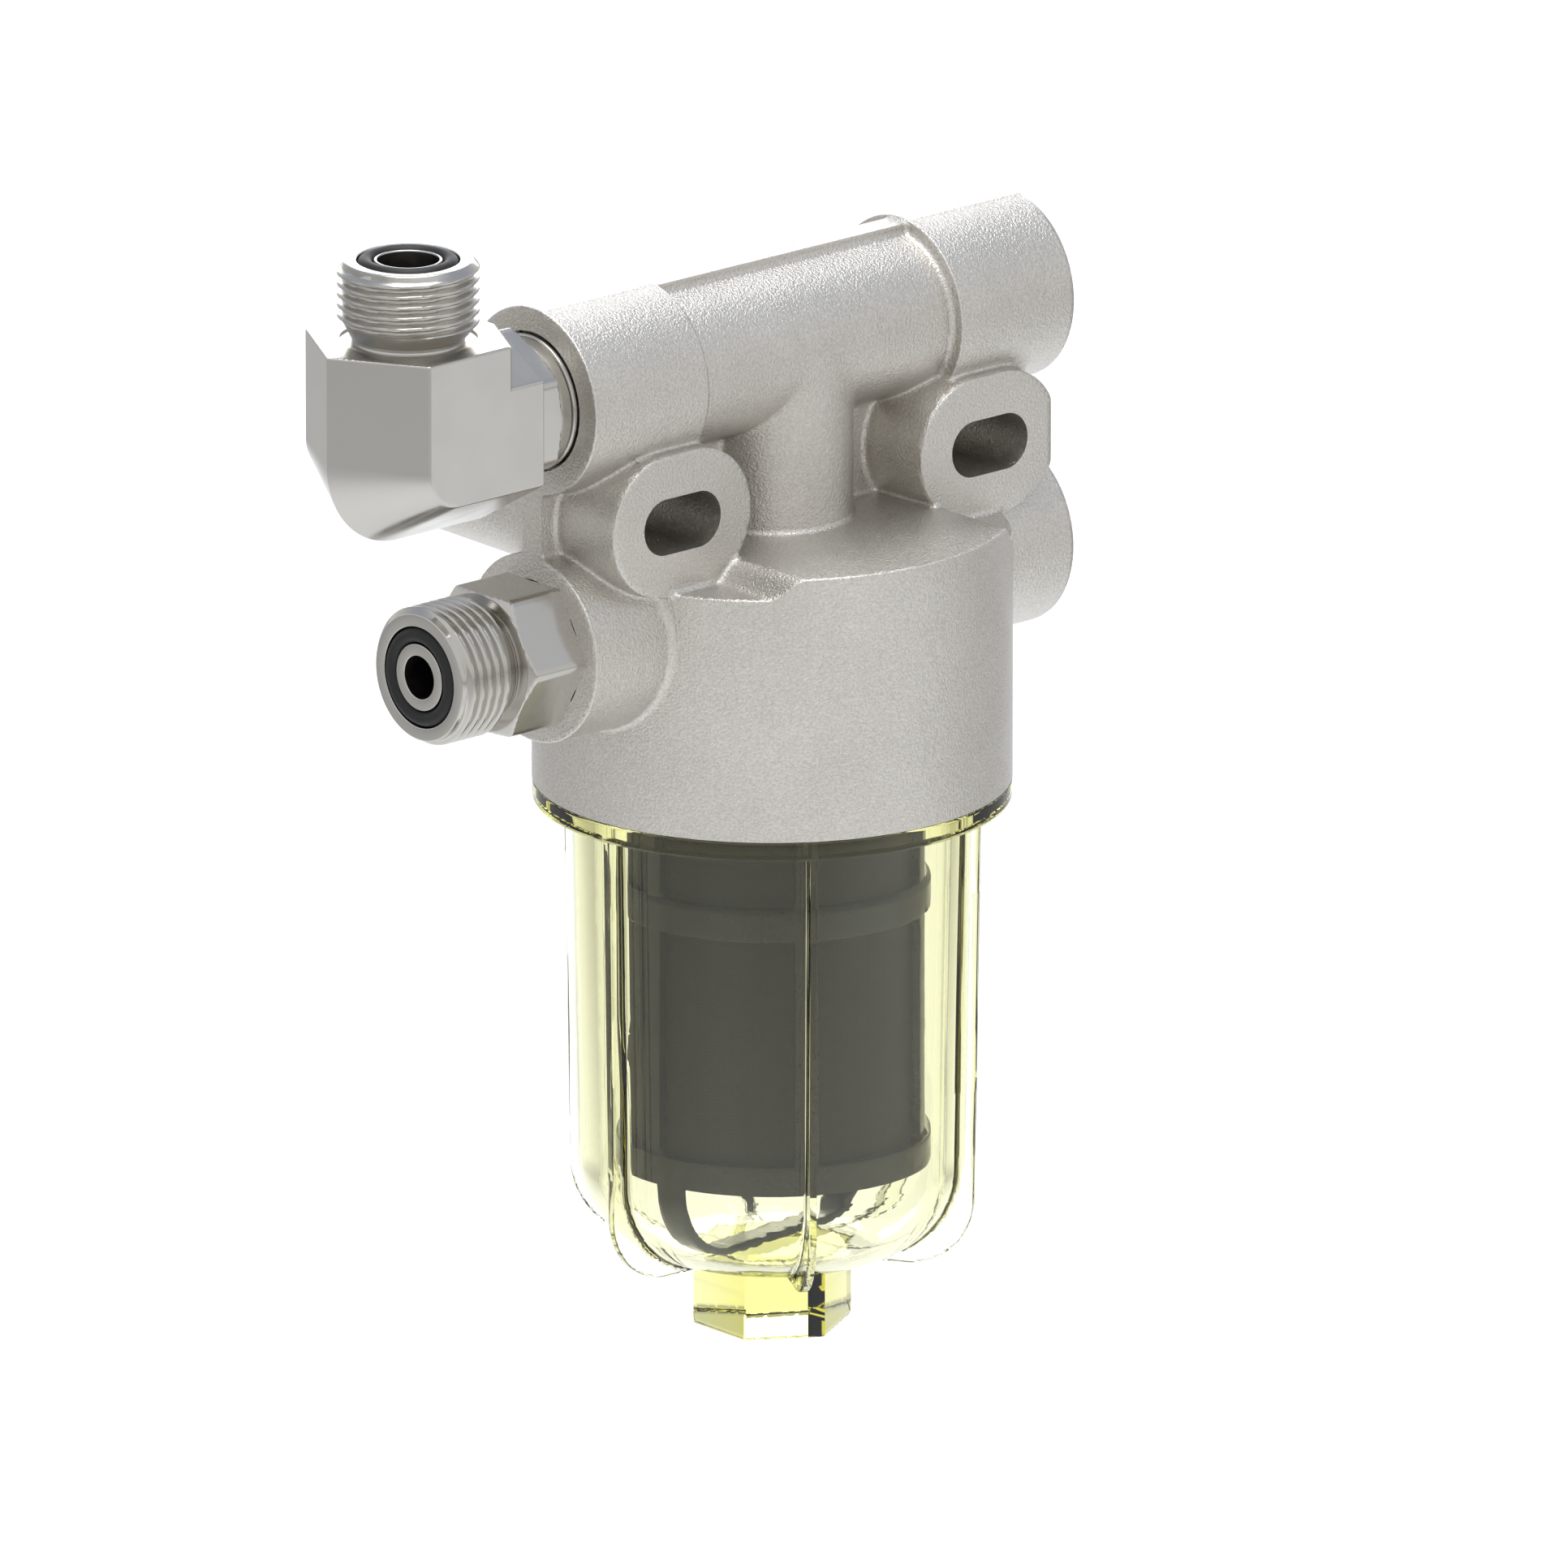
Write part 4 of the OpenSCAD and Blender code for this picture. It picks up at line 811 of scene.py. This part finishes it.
# The drilled bores of both hose ends take a dark steel, so that they look nearly black: painted
# shade for the dark inside of the deep bores. Their gloss is rough, with swirls about 1.2 mm wide.
bore_shade_steel, tree, shader, place = finish("bore_steel_painted_shade", Metallic=1.0, Roughness=0.42,
                                      Base_Color=linear_colour("#4c4a47"))
SWIRLS, BORE_PLAY = 1.2, 0.01
swirls = add(tree, "ShaderNodeTexNoise", {"Vector": place, "Scale": 1 / (SWIRLS * MM),
                                          "Detail": 2.0})
gloss = add(tree, "ShaderNodeMapRange", {"Value": swirls.outputs["Fac"], "From Min": 0.3,
                                         "From Max": 0.7, "To Min": 0.36, "To Max": 0.48})
tree.links.new(gloss.outputs["Result"], shader.inputs["Roughness"])
# Faces that lie on a bore take the dark steel of painted shade as their second material.
for piece, bore, centre, sides in ((elbow_end, ELBOW_BORE, (ELBOW_X, 0), (0, 1)),
                                   (adapter, ADAPTER_BORE, (0, LOWER_Z), (1, 2))):
    piece.data.materials.append(bore_shade_steel)
    points = np.array([vertex.co[:] for vertex in piece.data.vertices])[:, sides] / MM - centre
    on_bore = np.hypot(*points.T) < bore + BORE_PLAY
    for face in piece.data.polygons:
        face.material_index = int(on_bore[list(face.vertices)].all())

# The right-hand ports are closed with socket-head plugs, turned from steel bar, zinc plated, and
# screwed in until the flange under the head sits in the spotface.
PLUG_R, PLUG_STAND, SOCKET_HALF, SOCKET_DEPTH, SOCKET_MID = 10.1, 1.4, 4.0, 6.0, 3.0
SINK_W, SINK_L, SOCKET_END_R, SOCKET_EDGE = 0.9, 0.4, 0.4, 0.05
face_x = HEAD_HALF + PLUG_STAND
plug_outline = np.concatenate([
    soften([(0, -STUD_END_X), (STUD_R, -STUD_END_X), (STUD_R, -UNDERCUT_TO_X),
            (UNDERCUT_R, -UNDERCUT_TO_X), (UNDERCUT_R, SPOT_X), (PLUG_R, SPOT_X),
            (PLUG_R, face_x), (SOCKET_HALF + SINK_W, face_x)], TURNED_EDGE)[2:-PER_CORNER],
    [(SOCKET_HALF + SINK_W, face_x), (SOCKET_HALF, face_x - SINK_L),
     (SOCKET_HALF, face_x - SOCKET_MID), (SOCKET_HALF, face_x - SOCKET_DEPTH),
     (SOCKET_END_R, face_x - SOCKET_DEPTH)]])


def plug_socket(r, along, angle):
    """The hexagon socket for a key, inside the plug's face."""
    inside = (np.abs(r - SOCKET_HALF) < TINY) & (along > face_x - SOCKET_DEPTH - TINY)
    return np.where(inside, hexagon_radius(angle, SOCKET_HALF, 0.0, SOCKET_EDGE), r)


for node, height in (("upper_plug", UPPER_Z), ("lower_plug", LOWER_Z)):
    plug = show(node + "_turned", turned_mesh(
        node + "_turned", plug_outline, columns=96, across=plug_socket, place=(0, 0, height),
        axis="x", closed=False), "head", [node])
    plug.data.materials.append(steel)

# The stage: a pale floor some way under the filter, which hangs as it does on its bracket, large
# soft lights, and the photograph's nearly parallel view from the front left.
FLOOR_HALF, HANG = 3000.0, 80.0
floor_mesh = bpy.data.meshes.new("floor")
floor_mesh.from_pydata([(s * FLOOR_HALF * MM, t * FLOOR_HALF * MM, (LUG_Z - HANG) * MM)
                        for s, t in ((-1, -1), (1, -1), (1, 1), (-1, 1))], [], [(0, 1, 2, 3)])
floor = bpy.data.objects.new("floor", floor_mesh)
bpy.context.scene.collection.objects.link(floor)
# A matt floor with painted shade in its colour: white round the object, a little greyer in front of
# it and to its left, and darker in both back corners and far off, standing in for light that falls
# off away from the lamps. The bright metal shows this painted shade on its sides.
pale, tree, shader, place = finish("matt_floor_painted_shade", Roughness=0.9)
VIEW_TURN, VIEW_RISE = 42.0, 16.8
WHITE_HALF, BLEND, FRONT, AHEAD, NEAR_R, FAR_R = 130.0, 290.0, 150.0, 260.0, 1100.0, 2400.0
turn, rise = math.radians(VIEW_TURN), math.radians(VIEW_RISE)
right = Vector((math.cos(turn), -math.sin(turn), 0))
away = Vector((math.sin(turn), math.cos(turn), 0))
across = add(tree, "ShaderNodeVectorMath", {0: place, 1: right}, operation="DOT_PRODUCT")
far = add(tree, "ShaderNodeVectorMath", {0: place, 1: away}, operation="DOT_PRODUCT")
behind = add(tree, "ShaderNodeMath", {0: far.outputs["Value"], 1: (WHITE_HALF + FRONT) * MM},
             operation="ADD")
reach = add(tree, "ShaderNodeVectorMath", {0: place}, operation="LENGTH")
off = add(tree, "ShaderNodeMath", {0: across.outputs["Value"]}, operation="ABSOLUTE")
corner = add(tree, "ShaderNodeMath", {0: off.outputs["Value"], 1: behind.outputs["Value"]},
             operation="MINIMUM")
floor_painted_shade = linear_colour("#f6f6f4")
# Each row fades the floor's colour to a darker tone over a band: painted shade for light falling
# off.
for level, low, high, tone in (
        (far.outputs["Value"], -AHEAD, -AHEAD - BLEND, "#d6d4cf"),
        (across.outputs["Value"], -WHITE_HALF, -WHITE_HALF - BLEND, "#cecdca"),
        (corner.outputs["Value"], WHITE_HALF, WHITE_HALF + BLEND, "#b2b0ac"),
        (reach.outputs["Value"], NEAR_R, FAR_R, "#b0aeaa")):
    fade = add(tree, "ShaderNodeMapRange", {"Value": level, "From Min": low * MM,
                                            "From Max": high * MM}, interpolation_type="SMOOTHSTEP")
    floor_painted_shade = add(tree, "ShaderNodeMix", {"Factor": fade.outputs["Result"], "A": floor_painted_shade,
                                        "B": linear_colour(tone)},
                data_type="RGBA").outputs["Result"]
tree.links.new(floor_painted_shade, shader.inputs["Base Color"])
floor.data.materials.append(pale)

# Daylight-white studio: pale walls, a bright ceiling in front and a darker one behind, one long
# soft box overhead and a low one behind the object, both set square to the view. The dark ceiling
# between them is what makes the peened tops sparkle.
world = bpy.data.worlds.new("studio")
bpy.context.scene.world = world
world.use_nodes = True
tree = world.node_tree
aim = add(tree, "ShaderNodeTexCoord").outputs["Generated"]
split = add(tree, "ShaderNodeSeparateXYZ", {"Vector": aim})
climb = add(tree, "ShaderNodeMapRange", {"Value": split.outputs["Z"], "From Min": 0.0,
                                         "From Max": 0.6}, interpolation_type="SMOOTHSTEP")
depth = add(tree, "ShaderNodeVectorMath", {0: aim, 1: away}, operation="DOT_PRODUCT")
depth = add(tree, "ShaderNodeMapRange", {"Value": depth.outputs["Value"], "From Min": -0.3,
                                         "From Max": 0.3}, interpolation_type="SMOOTHSTEP")
ceiling = add(tree, "ShaderNodeMix", {"Factor": depth.outputs["Result"],
                                      "A": (0.84, 0.86, 0.9, 1.0), "B": (0.46, 0.5, 0.58, 1.0)},
              data_type="RGBA")
walls = add(tree, "ShaderNodeMix", {"Factor": climb.outputs["Result"],
                                    "A": (0.8, 0.79, 0.77, 1.0), "B": ceiling.outputs["Result"]},
            data_type="RGBA")
tree.links.new(walls.outputs["Result"], tree.nodes["Background"].inputs["Color"])

# Each row: the light's name, how far behind and above the slots it hangs, its size and power.
for name, behind, above, size, power in (
        ("overhead_box", 0.2, 1.2, (0.6, 1.4), 11.4), ("back_box", 1.5, 0.34, (1.2, 0.45), 5.0)):
    lamp = bpy.data.lights.new(name, "AREA")
    lamp.shape, (lamp.size, lamp.size_y), lamp.energy = "RECTANGLE", size, power
    light = bpy.data.objects.new(name, lamp)
    light.location = away * behind + Vector((0, 0, above))
    tilt = 0.0 if behind < above else math.atan2(behind, above)
    light.rotation_euler = (-tilt, 0, -turn)
    bpy.context.scene.collection.objects.link(light)
bpy.context.scene.view_settings.view_transform = "Standard"

VIEW_WIDTH, VIEW_DISTANCE, AIM_RIGHT, AIM_UP = 227.67, 6000.0, 1.72, -46.47
back = Vector((-math.sin(turn) * math.cos(rise), -math.cos(turn) * math.cos(rise), math.sin(rise)))
up = back.cross(right)
lens = bpy.data.cameras.new("camera")
lens.sensor_width = 36
lens.lens = lens.sensor_width * VIEW_DISTANCE / VIEW_WIDTH
lens.clip_start, lens.clip_end = 0.1, 20
camera = bpy.data.objects.new("camera", lens)
place = (right * AIM_RIGHT + up * AIM_UP + back * VIEW_DISTANCE) * MM
axes = Matrix((right, up, back)).transposed().to_4x4()
camera.matrix_world = Matrix.Translation(place) @ axes
bpy.context.scene.collection.objects.link(camera)
bpy.context.scene.camera = camera
